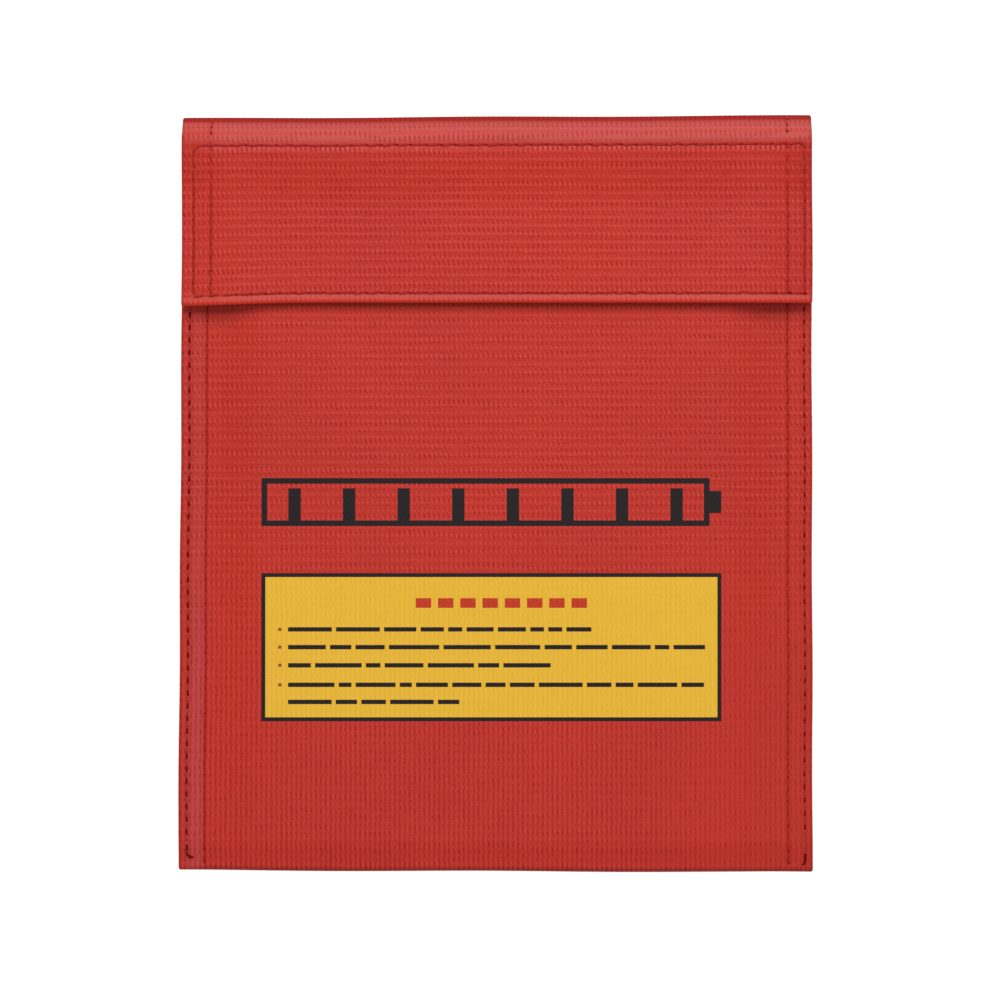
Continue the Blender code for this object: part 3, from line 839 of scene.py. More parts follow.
def shellFaces(kept, start, below, openRim=None, across=None, along=None):
    # quads of a sheet's outer grid, its inner grid and the rim between them
    number = np.arange(start, start + (kept.shape[0] + 1) * (kept.shape[1] + 1))
    number = number.reshape(kept.shape[0] + 1, kept.shape[1] + 1)
    i, j = np.nonzero(kept)
    outer = np.stack([number[i, j], number[i + 1, j], number[i + 1, j + 1], number[i, j + 1]], 1)
    inner = outer[:, ::-1] + below
    edges = np.concatenate([outer[:, [k, (k + 1) % 4]] for k in range(4)])
    seen = {(a, b) for a, b in edges.tolist()}
    rim = []
    for a, b in edges.tolist():
        if (b, a) in seen:
            continue
        if openRim is not None:
            middleAcross = (across.ravel()[a - start] + across.ravel()[b - start]) / 2
            middleAlong = (along.ravel()[a - start] + along.ravel()[b - start]) / 2
            if openRim(middleAcross, middleAlong):
                continue
        rim.append((b, a, a + below, b + below))
    rim = np.array(rim, int).reshape(-1, 4)
    faces = np.concatenate([outer, inner, rim])
    tags = np.concatenate([np.zeros(len(outer)), np.ones(len(inner)), np.zeros(len(rim))])
    return faces, tags


def acrossSteps(middleStep):
    rightHalf = ladder(
        (0.0, 66 * mm, middleStep),
        (66 * mm, 83 * mm, 1.0 * mm),
        (83 * mm, panelEdge, 0.4 * mm),
        (panelEdge, panelEdge + turnLength, turnLength / meshing["turnSteps"]),
        (panelEdge + turnLength, panelEdge + turnLength + hemRun, 1.4 * mm),
    )
    return np.concatenate([-rightHalf[:0:-1], rightHalf])


def clothPiece(name, acrossList, alongList, place, before, keeps=None, openRim=None, patches=()):
    across, along = np.meshgrid(acrossList, alongList, indexing="ij")
    grids = []
    for layer in (1, -1):
        x, depth = crossSection(across, layer)
        grids.append(outline(place(x, depth, along)).reshape(-1, 3))
    kept = np.ones((len(acrossList) - 1, len(alongList) - 1), bool)
    if keeps is not None:
        middleAcross = (acrossList[1:] + acrossList[:-1]) / 2
        middleAlong = (alongList[1:] + alongList[:-1]) / 2
        kept = keeps(*np.meshgrid(middleAcross, middleAlong, indexing="ij"))
    stripPlace = np.stack([across.ravel(), along.ravel() + before], 1)
    points, places = [*grids], [stripPlace, stripPlace]
    faces, tags = shellFaces(kept, 0, across.size, openRim, across, along)
    faces, tags = [faces], [tags]
    total = 2 * across.size
    for outerGrid, innerGrid, patchPlace in patches:
        whole = np.ones((outerGrid.shape[0] - 1, outerGrid.shape[1] - 1), bool)
        size = outerGrid.shape[0] * outerGrid.shape[1]
        patchAcross, patchAlong = np.moveaxis(patchPlace, -1, 0)
        patchFaces, patchTags = shellFaces(
            whole, total, size, lambda across, along: True, patchAcross, patchAlong
        )
        points += [outerGrid.reshape(-1, 3), innerGrid.reshape(-1, 3)]
        places += [patchPlace.reshape(-1, 2), patchPlace.reshape(-1, 2)]
        faces.append(patchFaces)
        tags.append(patchTags)
        total += 2 * size
    mesh = meshFrom(
        name, np.concatenate(points), np.concatenate(faces), np.concatenate(places),
        np.concatenate(tags), [finishes["cloth"], finishes["inner"]],
    )
    return newPiece(name, mesh)


def cornerPatches():
    # the flap's two free corners, where the side turn and the edge turn meet in a small round
    made = []
    edge = strip["flapEdge"] + half + turnRadius
    rise = np.linspace(0.0, math.pi, meshing["turnSteps"] + 1)[:, None]
    sweep = np.linspace(0.0, math.pi / 2, meshing["cornerSteps"] + 1)[None, :]
    for side in (-1.0, 1.0):
        grids = []
        for layer in (1, -1):
            radius = turnRadius + half * layer
            x = side * (panelEdge + radius * np.sin(rise) * np.cos(sweep))
            y = edge - radius * np.sin(rise) * np.sin(sweep)
            z = flapLevel - turnRadius + radius * np.cos(rise) + 0 * sweep
            z = z + flapSettle(x, y)
            grids.append(outline(np.stack([x, y + flapSag(x, y), z], -1)))
        reach = rise * turnRadius
        across = side * (panelEdge + reach * np.cos(sweep))
        along = stripBefore + flapTurnStart + reach * np.sin(sweep)
        patchPlace = np.stack([across, along], -1)
        if side < 0.0:
            made.append((grids[0][:, ::-1], grids[1][:, ::-1], patchPlace[:, ::-1]))
        else:
            made.append((grids[0], grids[1], patchPlace))
    return made


def makeFrontCloth():
    flatRun = strip["mouth"] - bottomStart
    alongList = ladder((0.0, flatRun, 0.9 * mm), (flatRun, frontLength, 0.5 * mm))
    return clothPiece("front_cloth", acrossSteps(2.0 * mm), alongList, frontPlace, 0.0)


def makeBackCloth():
    arcRun = bottomDepth * math.pi / 2
    creaseStart = arcRun + creaseAt[0] - creaseTangent - bottomStart
    creaseEnd = creaseStart + shapes["creaseRadius"] * (math.pi - bandSlope)
    alongList = ladder(
        (0.0, arcRun, 0.5 * mm),
        (arcRun, creaseStart - 4 * mm, 1.2 * mm),
        (creaseStart - 4 * mm, creaseStart, 0.5 * mm),
        (creaseStart, creaseEnd, 0.12 * mm),
        (creaseEnd, backLength, 0.6 * mm),
    )
    return clothPiece("back_cloth", acrossSteps(2.2 * mm), alongList, backPlace, frontLength)


def makeFlapCloth():
    topRow = flapBase - ringHigh.y
    bottomRow = flapBase - ringLow.y
    alongList = ladder(
        (0.0, bandFlat / 2, 0.6 * mm),
        (bandFlat / 2, flapFlatStart, 0.35 * mm),
        (flapFlatStart, topRow + 2.4 * mm, 0.3 * mm),
        (topRow + 2.4 * mm, bottomRow - 2.2 * mm, 0.9 * mm),
        (bottomRow - 2.2 * mm, flapTurnStart, 0.25 * mm),
        (flapTurnStart, flapTurnStart + turnLength, turnLength / meshing["turnSteps"]),
        (flapTurnStart + turnLength, flapLength, 1.2 * mm),
    )
    hemReach = strip["hemEdge"] - 0.3 * mm

    def keeps(across, along):
        far = np.abs(across)
        panel = along < flapTurnStart
        turned = (far < panelEdge) & (along < flapTurnStart + turnLength)
        return panel | turned | (far < hemReach)

    def openRim(across, along):
        far = abs(across)
        sideEnd = panelEdge < far < panelEdge + turnLength and abs(along - flapTurnStart) < 1e-9
        edgeEnd = abs(far - panelEdge) < 1e-9 and flapTurnStart < along < flapTurnStart + turnLength
        return sideEnd or edgeEnd

    columns = acrossSteps(1.1 * mm)
    return clothPiece(
        "flap_cloth", columns, alongList, flapPlace, stripBefore, keeps, openRim, cornerPatches()
    )


gape = {
    "sewn": 84 * mm,  # from the middle out to where the front is sewn down
    "free": 15 * mm,  # and to where it follows the mouth fully
    "fromBottom": 9 * mm,
}


def gapeShare(x):
    # how far a place across the front follows the gaping mouth: 0 at the sewn sides, 1 in the middle
    return smooth(gape["sewn"] - np.abs(x), 0.0, gape["sewn"] - gape["free"])


def gapeWith(piece):
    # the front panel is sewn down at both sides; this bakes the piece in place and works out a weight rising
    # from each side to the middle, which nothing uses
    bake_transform(piece)
    spots = np.empty(len(piece.data.vertices) * 3, np.float32)
    piece.data.vertices.foreach_get("co", spots)
    spots = spots.reshape(-1, 3).astype(float)
    weight = gapeShare(spots[:, 0]) * smooth(spots[:, 1], bottomTip, bottomTip + gape["fromBottom"])


frontCloth = makeFrontCloth()
backCloth = makeBackCloth()
flapCloth = makeFlapCloth()

gapeWith(frontCloth)
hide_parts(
    "front_panel", "left_front_margin", "right_front_margin",
    "left_front_hem", "right_front_hem",
)

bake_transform(backCloth)
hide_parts("back_panel", "bottom_fold", "left_back_hem", "right_back_hem")

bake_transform(flapCloth)
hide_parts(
    "flap_fold_band", "left_fold_hem", "right_fold_hem",
    "flap_panel", "flap_left_hem", "flap_right_hem", "flap_edge_hem",
)
for piece in (frontCloth, backCloth, flapCloth):
    print(piece.name, len(piece.data.polygons), "faces")


# prints

printing = {
    "lift": 0.03 * mm,
    "ink": 0.02 * mm,
    "overField": 0.04 * mm,
    "step": 1.2 * mm,
    "border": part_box("printed_label")[0].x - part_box("label_border")[0].x,
}


def inkPiece(name, blocks, lift, material):
    # blocks are (low x, low y, high x, high y); each is a thin skin of ink that follows the front
    points, faces, places, tags = [], [], [], []
    total = 0
    for lowX, lowY, highX, highY in blocks:
        columns = ladder((lowX, highX, printing["step"]))
        lines = ladder((lowY, highY, printing["step"]))
        x, y = np.meshgrid(columns, lines, indexing="ij")
        for height in (lift + printing["ink"], lift):
            z = frontHeight(x, y) + half + height
            points.append(outline(np.stack([x, y, z], -1)).reshape(-1, 3))
            places.append(np.stack([x.ravel(), strip["mouth"] - y.ravel()], 1))
        kept = np.ones((len(columns) - 1, len(lines) - 1), bool)
        blockFaces, _ = shellFaces(kept, total, x.size)
        faces.append(blockFaces)
        tags.append(np.zeros(len(blockFaces)))
        total += 2 * x.size
    mesh = meshFrom(
        name, np.concatenate(points), np.concatenate(faces), np.concatenate(places),
        np.concatenate(tags), [material],
    )
    piece = newPiece(name, mesh)
    gapeWith(piece)
    return piece


def frameBlocks(low, high, width):
    return [
        (low[0], low[1], high[0], low[1] + width),
        (low[0], high[1] - width, high[0], high[1]),
        (low[0], low[1] + width, low[0] + width, high[1] - width),
        (high[0] - width, low[1] + width, high[0], high[1] - width),
    ]


label = {
    "low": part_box("label_border")[0],
    "high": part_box("label_border")[1],
    "headingDrop": 8.7 * mm,
    "headingHeight": 2.8 * mm,
    "headingStart": 45.0 * mm,
    "headingDash": 4.5 * mm,
    "headingGap": 2.0 * mm,
    "headingDashes": 8,
    "lineStart": 7.7 * mm,
    "lineHeight": 1.25 * mm,
    "lineDrops": (16.4 * mm, 21.6 * mm, 26.9 * mm, 32.6 * mm, 37.6 * mm),
    "lineLengths": (88.6 * mm, 121.8 * mm, 76.8 * mm, 121.5 * mm, 50.0 * mm),
    "dashRange": (3.5, 15.0),  # in mm
    "shortest": 2 * mm,
    "wordGap": 1.25 * mm,
    "dotInset": 5.3 * mm,
    "dotSize": 0.9 * mm,
}


def headingBlocks():
    middle = label["high"].y - label["headingDrop"]
    blocks = []
    for dash in range(label["headingDashes"]):
        start = label["low"].x + label["headingStart"] + dash * (label["headingDash"] + label["headingGap"])
        reach = label["headingHeight"] / 2
        blocks.append((start, middle - reach, start + label["headingDash"], middle + reach))
    return blocks


def lineBlocks():
    # lines of plain dashes of mixed length
    draw = np.random.default_rng(5)
    blocks = []
    for drop, length in zip(label["lineDrops"], label["lineLengths"]):
        middle = label["high"].y - drop
        start = label["low"].x + label["lineStart"]
        end = start + length
        while start < end - label["shortest"]:
            dash = min(draw.uniform(*label["dashRange"]) * mm, end - start)
            reach = label["lineHeight"] / 2
            blocks.append((start, middle - reach, start + dash, middle + reach))
            start += dash + label["wordGap"]
    return blocks


def dotBlocks():
    blocks = []
    for drop in label["lineDrops"][:4]:
        x = label["low"].x + label["dotInset"]
        y = label["high"].y - drop
        reach = label["dotSize"] / 2
        blocks.append((x - reach, y - reach, x + reach, y + reach))
    return blocks


symbol = {
    "terminal": 3.4 * mm,
    "terminalHalf": 3.2 * mm,
    "stroke": 1.6 * mm,
    "bars": 8,
    "barHalf": 1.8 * mm,
    "barDrop": 1.4 * mm,
}


def symbolBlocks():
    # a battery lying on its side: its case, its end terminal and a row of charge bars
    low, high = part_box("title_symbol")
    stroke = symbol["stroke"]
    caseEnd = high.x - symbol["terminal"]
    blocks = frameBlocks(low, (caseEnd, high.y), stroke)
    middle = (low.y + high.y) / 2
    blocks.append((caseEnd, middle - symbol["terminalHalf"], high.x, middle + symbol["terminalHalf"]))
    pitch = (caseEnd - low.x - 2 * stroke) / symbol["bars"]
    top = high.y - stroke - symbol["barDrop"]
    for bar in range(symbol["bars"]):
        centre = low.x + stroke + (bar + 0.5) * pitch
        blocks.append((centre - symbol["barHalf"], low.y + stroke, centre + symbol["barHalf"], top))
    return blocks


wholeLabel = [(label["low"].x, label["low"].y, label["high"].x, label["high"].y)]
labelField = inkPiece("label_field", wholeLabel, printing["lift"], finishes["yellow"])
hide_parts("printed_label")
overField = printing["lift"] + printing["overField"]
labelBorder = inkPiece(
    "label_edge", frameBlocks(label["low"], label["high"], printing["border"]), overField, finishes["black"]
)
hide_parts("label_border")
labelLines = inkPiece("label_lines", lineBlocks(), overField, finishes["black"])
titleBattery = inkPiece("battery_symbol", symbolBlocks(), printing["lift"], finishes["black"])
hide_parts("title_symbol")
labelHeading = inkPiece("label_heading", headingBlocks(), overField, finishes["redInk"])
labelDots = inkPiece("label_dots", dotBlocks(), overField, finishes["dotInk"])
print("prints ready")


# stitches, by Geometry Nodes along guide lines

def railOn(place, x, along):
    # points on a sheet's outer face, and the way out of the cloth there
    x, along = np.broadcast_arrays(np.asarray(x, float), np.asarray(along, float))
    face = outline(place(x, np.full(x.shape, -half), along))
    under = outline(place(x, np.zeros(x.shape), along))
    up = face - under
    return face, up / np.linalg.norm(up, axis=-1, keepdims=True)


def guideObject(name, rails, joined=True):
    # lines, or loose points, that carry the way out of the cloth as an attribute
    points, ups, edges = [], [], []
    total = 0
    for spots, up in rails:
        points.append(spots)
        ups.append(up)
        if joined:
            edges += [(total + index, total + index + 1) for index in range(len(spots) - 1)]
        total += len(spots)
    mesh = bpy.data.meshes.new(name)
    mesh.from_pydata(np.concatenate(points).tolist(), edges, [])
    mesh.attributes.new("up", "FLOAT_VECTOR", "POINT")
    mesh.attributes["up"].data.foreach_set("vector", np.concatenate(ups).astype(np.float32).ravel())
    return newPiece(name, mesh)


def newTree(name, inputs):
    # a geometry tree with named inputs; returns it with one wire for each input
    tree = bpy.data.node_groups.new(name, "GeometryNodeTree")
    tree.interface.new_socket("Geometry", in_out="INPUT", socket_type="NodeSocketGeometry")
    for label, kind in inputs:
        tree.interface.new_socket(label, in_out="INPUT", socket_type=kind)
    tree.interface.new_socket("Geometry", in_out="OUTPUT", socket_type="NodeSocketGeometry")
    entry = tree.nodes.new("NodeGroupInput")
    wires = {label: Wire(tree, entry.outputs[label]) for label, kind in inputs}
    wires["Geometry"] = Wire(tree, entry.outputs[0])
    return tree, wires


def endTree(tree, result):
    realized = result.node("GeometryNodeRealizeInstances", None, {0: result})
    smoothed = result.node("GeometryNodeSetShadeSmooth", None, {"Geometry": realized})
    leave = tree.nodes.new("NodeGroupOutput")
    tree.links.new(smoothed.socket, leave.inputs[0])


def point(board, x=0.0, y=0.0, z=0.0):
    return board.node("ShaderNodeCombineXYZ", None, {0: x, 1: y, 2: z})


def tube(board, path, radius, sides, material):
    # a thread of a given radius along a path
    ring = board.node("GeometryNodeCurvePrimitiveCircle", None, {"Resolution": sides, "Radius": radius})
    sockets = {"Curve": path, "Profile Curve": ring, "Fill Caps": True}
    return painted(board, board.node("GeometryNodeCurveToMesh", None, sockets), material)


def bowed(board, steps, start, crest, end):
    sockets = {"Resolution": steps, "Start": start, "Middle": crest, "End": end}
    return board.node("GeometryNodeCurveQuadraticBezier", None, sockets)


def standing(board, along=None, twist=None):
    # a rotation whose Z leaves the cloth and whose X runs along the row
    up = board.node("GeometryNodeInputNamedAttribute", {"data_type": "FLOAT_VECTOR"}, {"Name": "up"})
    upright = board.node("FunctionNodeAlignRotationToVector", {"axis": "Z"}, {"Vector": up})
    if along is not None:
        settings = {"axis": "X", "pivot_axis": "Z"}
        sockets = {"Rotation": upright, "Vector": along}
        upright = board.node("FunctionNodeAlignRotationToVector", settings, sockets)
    if twist is not None:
        spin = board.node("FunctionNodeEulerToRotation", None, {0: point(board, z=twist)})
        settings = {"rotation_space": "LOCAL"}
        upright = board.node("FunctionNodeRotateRotation", settings, {"Rotation": upright, "Rotate By": spin})
    return upright


def randomBetween(board, low, high, seed):
    return board.node("FunctionNodeRandomValue", {"data_type": "FLOAT"}, {2: low, 3: high, 8: seed}, 1)


def painted(board, geometry, material):
    return board.node("GeometryNodeSetMaterial", None, {"Geometry": geometry, "Material": material})


def makeStitchTree():
    tree, given = newTree("stitchRow", [
        ("Pitch", "NodeSocketFloat"), ("Stitch length", "NodeSocketFloat"),
        ("Stitch width", "NodeSocketFloat"), ("Rise", "NodeSocketFloat"), ("Slant", "NodeSocketFloat"),
        ("Yaw", "NodeSocketFloat"),
        ("Hole length", "NodeSocketFloat"), ("Hole width", "NodeSocketFloat"), ("Seed", "NodeSocketInt"),
        ("Thread", "NodeSocketMaterial"), ("Hole", "NodeSocketMaterial"),
    ])
    board = given["Geometry"]
    curve = board.node("GeometryNodeMeshToCurve", None, {0: board})
    sockets = {"Curve": curve, "Length": given["Pitch"]}
    spots = board.node("GeometryNodeResampleCurve", {"mode": "LENGTH"}, sockets)
    spots = board.node("GeometryNodeCurveToPoints", {"mode": "EVALUATED"}, {0: spots})
    along = spots.also(1)

    reach = given["Stitch length"] * 0.5
    dip = given["Rise"] * -0.9
    crest = point(board, z=given["Rise"] * 2.6)
    bow = bowed(board, 6, point(board, -reach, z=dip), crest, point(board, reach, z=dip))
    bead = tube(board, bow, given["Stitch width"] * 0.5, 6, given["Thread"])

    # a dark disc at each stitch, painted shade standing for the needle hole
    ball = board.node("GeometryNodeMeshUVSphere", None, {"Segments": 8, "Rings": 4, "Radius": 0.5})
    size = point(board, given["Hole length"], given["Hole width"], given["Hole width"] * 0.45)
    shift = point(board, given["Pitch"] * 0.5)
    holeShadeDisc = board.node("GeometryNodeTransform", None, {"Geometry": ball, "Translation": shift, "Scale": size})
    holeShadeDisc = painted(board, holeShadeDisc, given["Hole"])

    twist = given["Slant"] + randomBetween(board, -1.0, 1.0, given["Seed"]) * given["Yaw"]
    length = randomBetween(board, 0.88, 1.08, given["Seed"] + 1)
    breadth = randomBetween(board, 0.85, 1.2, given["Seed"] + 2)
    stretch = point(board, length, breadth, 1.0)
    threads = board.node("GeometryNodeInstanceOnPoints", None, {
        "Points": spots, "Instance": bead, "Rotation": standing(board, along, twist), "Scale": stretch,
    })
    holeShadeDiscs = board.node("GeometryNodeInstanceOnPoints", None, {
        "Points": spots, "Instance": holeShadeDisc, "Rotation": standing(board, along),
    })
    endTree(tree, board.node("GeometryNodeJoinGeometry", None, {0: [threads, holeShadeDiscs]}))
    return tree


def growOn(guide, tree, values, name):
    # runs a tree on a guide and keeps the result as a plain mesh
    modifier = guide.modifiers.new("grow", "NODES")
    modifier.node_group = tree
    for item in tree.interface.items_tree:
        if item.in_out == "INPUT" and item.name in values:
            modifier[item.identifier] = values[item.name]
    bpy.context.view_layer.update()
    grown = guide.evaluated_get(bpy.context.evaluated_depsgraph_get())
    mesh = bpy.data.meshes.new_from_object(grown)
    mesh.name = name
    if "up" in mesh.attributes:
        mesh.attributes.remove(mesh.attributes["up"])
    guideMesh = guide.data
    bpy.data.objects.remove(guide)
    bpy.data.meshes.remove(guideMesh)
    return newPiece(name, mesh)


stitchKinds = {
    "seam": {
        "share": 0.50, "Stitch width": 0.66 * mm, "Rise": 0.14 * mm, "Slant": 0.05, "Yaw": 0.14,
        "Hole length": 2.60 * mm, "Hole width": 0.98 * mm, "Thread": finishes["seamThread"],
        "Hole": finishes["hole"],
    },
    "fineSeam": {
        "share": 0.50, "Stitch width": 0.52 * mm, "Rise": 0.12 * mm, "Slant": 0.05, "Yaw": 0.12,
        "Hole length": 2.10 * mm, "Hole width": 0.74 * mm, "Thread": finishes["seamThread"],
        "Hole": finishes["hole"],
    },
    "hem": {
        "share": 0.80, "Stitch width": 0.56 * mm, "Rise": 0.08 * mm, "Slant": 0.05, "Yaw": 0.14,
        "Hole length": 1.50 * mm, "Hole width": 0.70 * mm, "Thread": finishes["hemThread"],
        "Hole": finishes["faintHole"],
    },
    "flap": {
        "share": 0.80, "Stitch width": 0.66 * mm, "Rise": 0.10 * mm, "Slant": 0.08, "Yaw": 0.17,
        "Hole length": 1.50 * mm, "Hole width": 0.80 * mm, "Thread": finishes["rowThread"],
        "Hole": finishes["faintHole"],
    },
    "knot": {
        "share": 0.95, "Stitch width": 0.60 * mm, "Rise": 0.10 * mm, "Slant": 0.0, "Yaw": 0.1,
        "Hole length": 0.60 * mm, "Hole width": 0.46 * mm, "Thread": finishes["rowThread"],
        "Hole": finishes["hole"],
    },
    "backStitch": {
        "share": 0.98, "Stitch width": 0.80 * mm, "Rise": 0.08 * mm, "Slant": 0.0, "Yaw": 0.1,
        "Hole length": 0.60 * mm, "Hole width": 0.50 * mm, "Thread": finishes["hole"],
        "Hole": finishes["hole"],
    },
    "tape": {
        "share": 0.80, "Stitch width": 0.42 * mm, "Rise": 0.12 * mm, "Slant": 0.06, "Yaw": 0.07,
        "Hole length": 0.7 * mm, "Hole width": 0.40 * mm, "Thread": finishes["tapeThread"],
        "Hole": finishes["tapeThread"],
    },
}
stitchTree = makeStitchTree()


def sewRows(name, rails, seed):
    # rails are (kind, points, ups, pitch); rows of one piece keep their own pitch, then join
    made = []
    for number, (kind, spots, up, pitch) in enumerate(rails):
        values = dict(stitchKinds[kind])
        values["Stitch length"] = values.pop("share") * pitch
        values.update({"Pitch": pitch, "Seed": seed + number})
        guide = guideObject(f"{name}_guide", [(spots, up)])
        made.append(growOn(guide, stitchTree, values, f"{name}_{number}"))
    return joinPieces(made, name)


def joinPieces(made, name):
    maker = bmesh.new()
    materials = []
    for piece in made:
        numbers = []
        for material in piece.data.materials:
            if material not in materials:
                materials.append(material)
            numbers.append(materials.index(material))
        before = len(maker.faces)
        maker.from_mesh(piece.data)
        maker.faces.ensure_lookup_table()
        for index in range(before, len(maker.faces)):
            face = maker.faces[index]
            face.material_index = numbers[face.material_index]
        old = piece.data
        bpy.data.objects.remove(piece)
        bpy.data.meshes.remove(old)
    mesh = bpy.data.meshes.new(name)
    maker.to_mesh(mesh)
    maker.free()
    for material in materials:
        mesh.materials.append(material)
    return newPiece(name, mesh)


def flapRail(x, y):
    x, y = np.broadcast_arrays(np.asarray(x, float), np.asarray(y, float))
    return railOn(flapPlace, x, flapBase - y)


def arcRail(centre, radius, start, end, place):
    # a quarter turn of short stitches between two rows
    angle = np.linspace(start, end, 13)
    return place(centre[0] + radius * np.cos(angle), centre[1] + radius * np.sin(angle))


def downFront(x, y):
    return railOn(frontPlace, x, strip["mouth"] - y)


def sewn(name, rails, seed, body, *nodes):
    piece = sewRows(name, rails, seed)
    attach(piece, body)
    if nodes:
        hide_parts(*nodes)


rowTop = strip["rowEnd"]
sewing = {
    "guideStep": 0.5 * mm,
    "backPitch": 0.55 * mm,
    "leftCorner": 2.6 * mm,  # the rounds at the ring's upper corners
    "rightCorner": 0.8 * mm,
    "bandPitch": 2.3 * mm,
}


def makePouchRows():
    # the side seams stop short of the bottom fold; each ends in a short turned-in back stitch
    rails = []
    for name, low, hook in (("leftSeam", -104.6 * mm, 1.4 * mm), ("rightSeam", -106.7 * mm, -0.45 * mm)):
        row = rows[name]
        kind = "seam" if hook > 0.0 else "fineSeam"
        y = np.arange(low + 0.2 * mm, rowTop, sewing["guideStep"])
        rails.append((kind, *downFront(row["x"], y), row["pitch"]))
        start = math.pi if hook > 0.0 else 0.0
        centre = (row["x"] + hook, low - 0.2 * mm)
        arc = arcRail(centre, abs(hook), start, -math.pi / 2 if hook < 0.0 else 1.5 * math.pi, downFront)
        rails.append(("backStitch", *arc, sewing["backPitch"]))
        stem = np.arange(low - 0.2 * mm, low + 1.7 * mm, 0.3 * mm)
        rails.append(("backStitch", *downFront(row["x"], stem), sewing["backPitch"]))
    sewn("side_seam_stitches", rails, 3, "pouch", "left_side_seam_thread", "right_side_seam_thread")
    rails = []
    for name in ("leftHem", "rightHem"):
        along = np.arange(strip["mouth"] - rowTop, frontLength - 5.2 * mm, sewing["guideStep"])
        rails.append(("hem", *railOn(frontPlace, rows[name]["x"], along), rows[name]["pitch"]))
    sewn("front_hem_stitches", rails, 13, "pouch", "left_hem_thread", "right_hem_thread")
    rails = []
    backEnd = bottomDepth * math.pi / 2 + creaseAt[0] - creaseTangent - bottomStart - 2.5 * mm
    for name in ("leftSeam", "rightSeam", "leftHem", "rightHem"):
        first = 4.4 * mm if "Seam" in name else 1.5 * mm
        last = backEnd - (9 * mm if "Seam" in name else 0.0)
        along = np.arange(bottomDepth + first, last, sewing["guideStep"])
        rails.append(("hem", *railOn(backPlace, rows[name]["x"], along), rows[name]["pitch"]))
    sewn("back_stitches", rails, 23, "pouch")


def makeFlapRows():
    # a ring of stitches holds the hook tape; its two upper corners are rounded
    left, right = rows["flapLeft"]["x"], rows["flapRight"]["x"]
    top, bottom = rows["flapTop"]["y"], rows["flapBottom"]["y"]
    leftCorner, rightCorner = sewing["leftCorner"], sewing["rightCorner"]
    x = np.arange(left + leftCorner + 2.0 * mm, right - rightCorner - 2.0 * mm, sewing["guideStep"])
    wobble = 0.09 * mm * waves(x, 0 * x, 71, 5, 3.0 * mm, 9.0 * mm)
    rails = [("flap", *flapRail(x, top + wobble), rows["flapTop"]["pitch"])]
    x = np.arange(left + 2.1 * mm, right - 1.9 * mm, sewing["guideStep"])
    wobble = 0.07 * mm * waves(x, 0 * x, 73, 5, 3.0 * mm, 9.0 * mm)
    rails.append(("flap", *flapRail(x, bottom + wobble), rows["flapBottom"]["pitch"]))
    centre = (left + leftCorner, top - leftCorner)
    rails.append(("knot", *arcRail(centre, leftCorner, math.pi, math.pi / 2, flapRail), 0.7 * mm))
    centre = (right - rightCorner, top - rightCorner)
    rails.append(("knot", *arcRail(centre, rightCorner, math.pi / 2, 0.0, flapRail), 0.5 * mm))
    for name, corner in (("flapLeft", leftCorner), ("flapRight", rightCorner)):
        y = np.arange(bottom + 1.8 * mm, top - corner - 1.8 * mm, sewing["guideStep"])
        wobble = 0.10 * mm * waves(y, 0 * y, 79, 5, 3.0 * mm, 8.0 * mm)
        rails.append(("flap", *flapRail(rows[name]["x"] + wobble, y), rows[name]["pitch"]))
    sewn("hook_tape_stitches", rails, 43, "flap", "hook_tape_thread")
    rails = []
    for name in ("flapLeftHem", "flapRightHem"):
        y = np.arange(bottom + 1.6 * mm, top + 0.3 * mm, sewing["guideStep"])
        rails.append(("hem", *flapRail(rows[name]["x"], y), rows[name]["pitch"]))
    sewn("flap_hem_stitches", rails, 53, "flap", "flap_left_hem_thread", "flap_right_hem_thread")
    rails = []
    for name in ("flapLeftHem", "flapRightHem"):
        lower = np.arange(backLength - bandFlat / 2 + 1.3 * mm, backLength, 0.4 * mm)
        first = railOn(backPlace, rows[name]["x"], lower)
        second = railOn(flapPlace, rows[name]["x"], np.arange(0.2 * mm, bandFlat / 2, 0.4 * mm))
        both = [np.concatenate([a, b]) for a, b in zip(first, second)]
        rails.append(("hem", *both, sewing["bandPitch"]))
    sewn("band_stitches", rails, 63, "fold")


makePouchRows()
makeFlapRows()
print("stitches ready")


# hook and loop tapes

tape = {
    "base": 0.40 * mm,
    "gap": 0.04 * mm,
    "selvedge": 2.6 * mm,
    "hookStep": (1.95 * mm, 1.65 * mm),
    "hookHeight": 0.85 * mm,
    "hookThread": 0.085 * mm,
    "hookBow": 0.62 * mm,
    "hookScatter": 0.12,  # in mm
    "loopCount": 5600,
    "loopHeight": 0.80 * mm,
    "loopThread": 0.05 * mm,
    "loopBow": 0.75 * mm,
    "rowInset": 1.2 * mm,
    "rowPitch": 3.1 * mm,
}


def underFlap(x, y, deep):
    # points under the closed flap, where the hook tape lies over the hems
    far = np.abs(x)
    overSide = smooth(far, strip["hemEdge"] - 1.4 * mm, strip["hemEdge"] + 0.2 * mm)
    overEdge = 1.0 - smooth(y, strip["flapHemEdge"] - 0.2 * mm, strip["flapHemEdge"] + 1.4 * mm)
    lift = hemDrop * np.maximum(overSide, overEdge)
    z = flapLevel - half - tape["gap"] - lift - deep + flapSettle(x, y)
    return outline(np.stack([x, y + flapSag(x, y), z], -1))


def overFront(x, y, high):
    z = frontHeight(x, y) + half + tape["gap"] + high
    return outline(np.stack([x + 0 * y, y + 0 * x, z], -1))


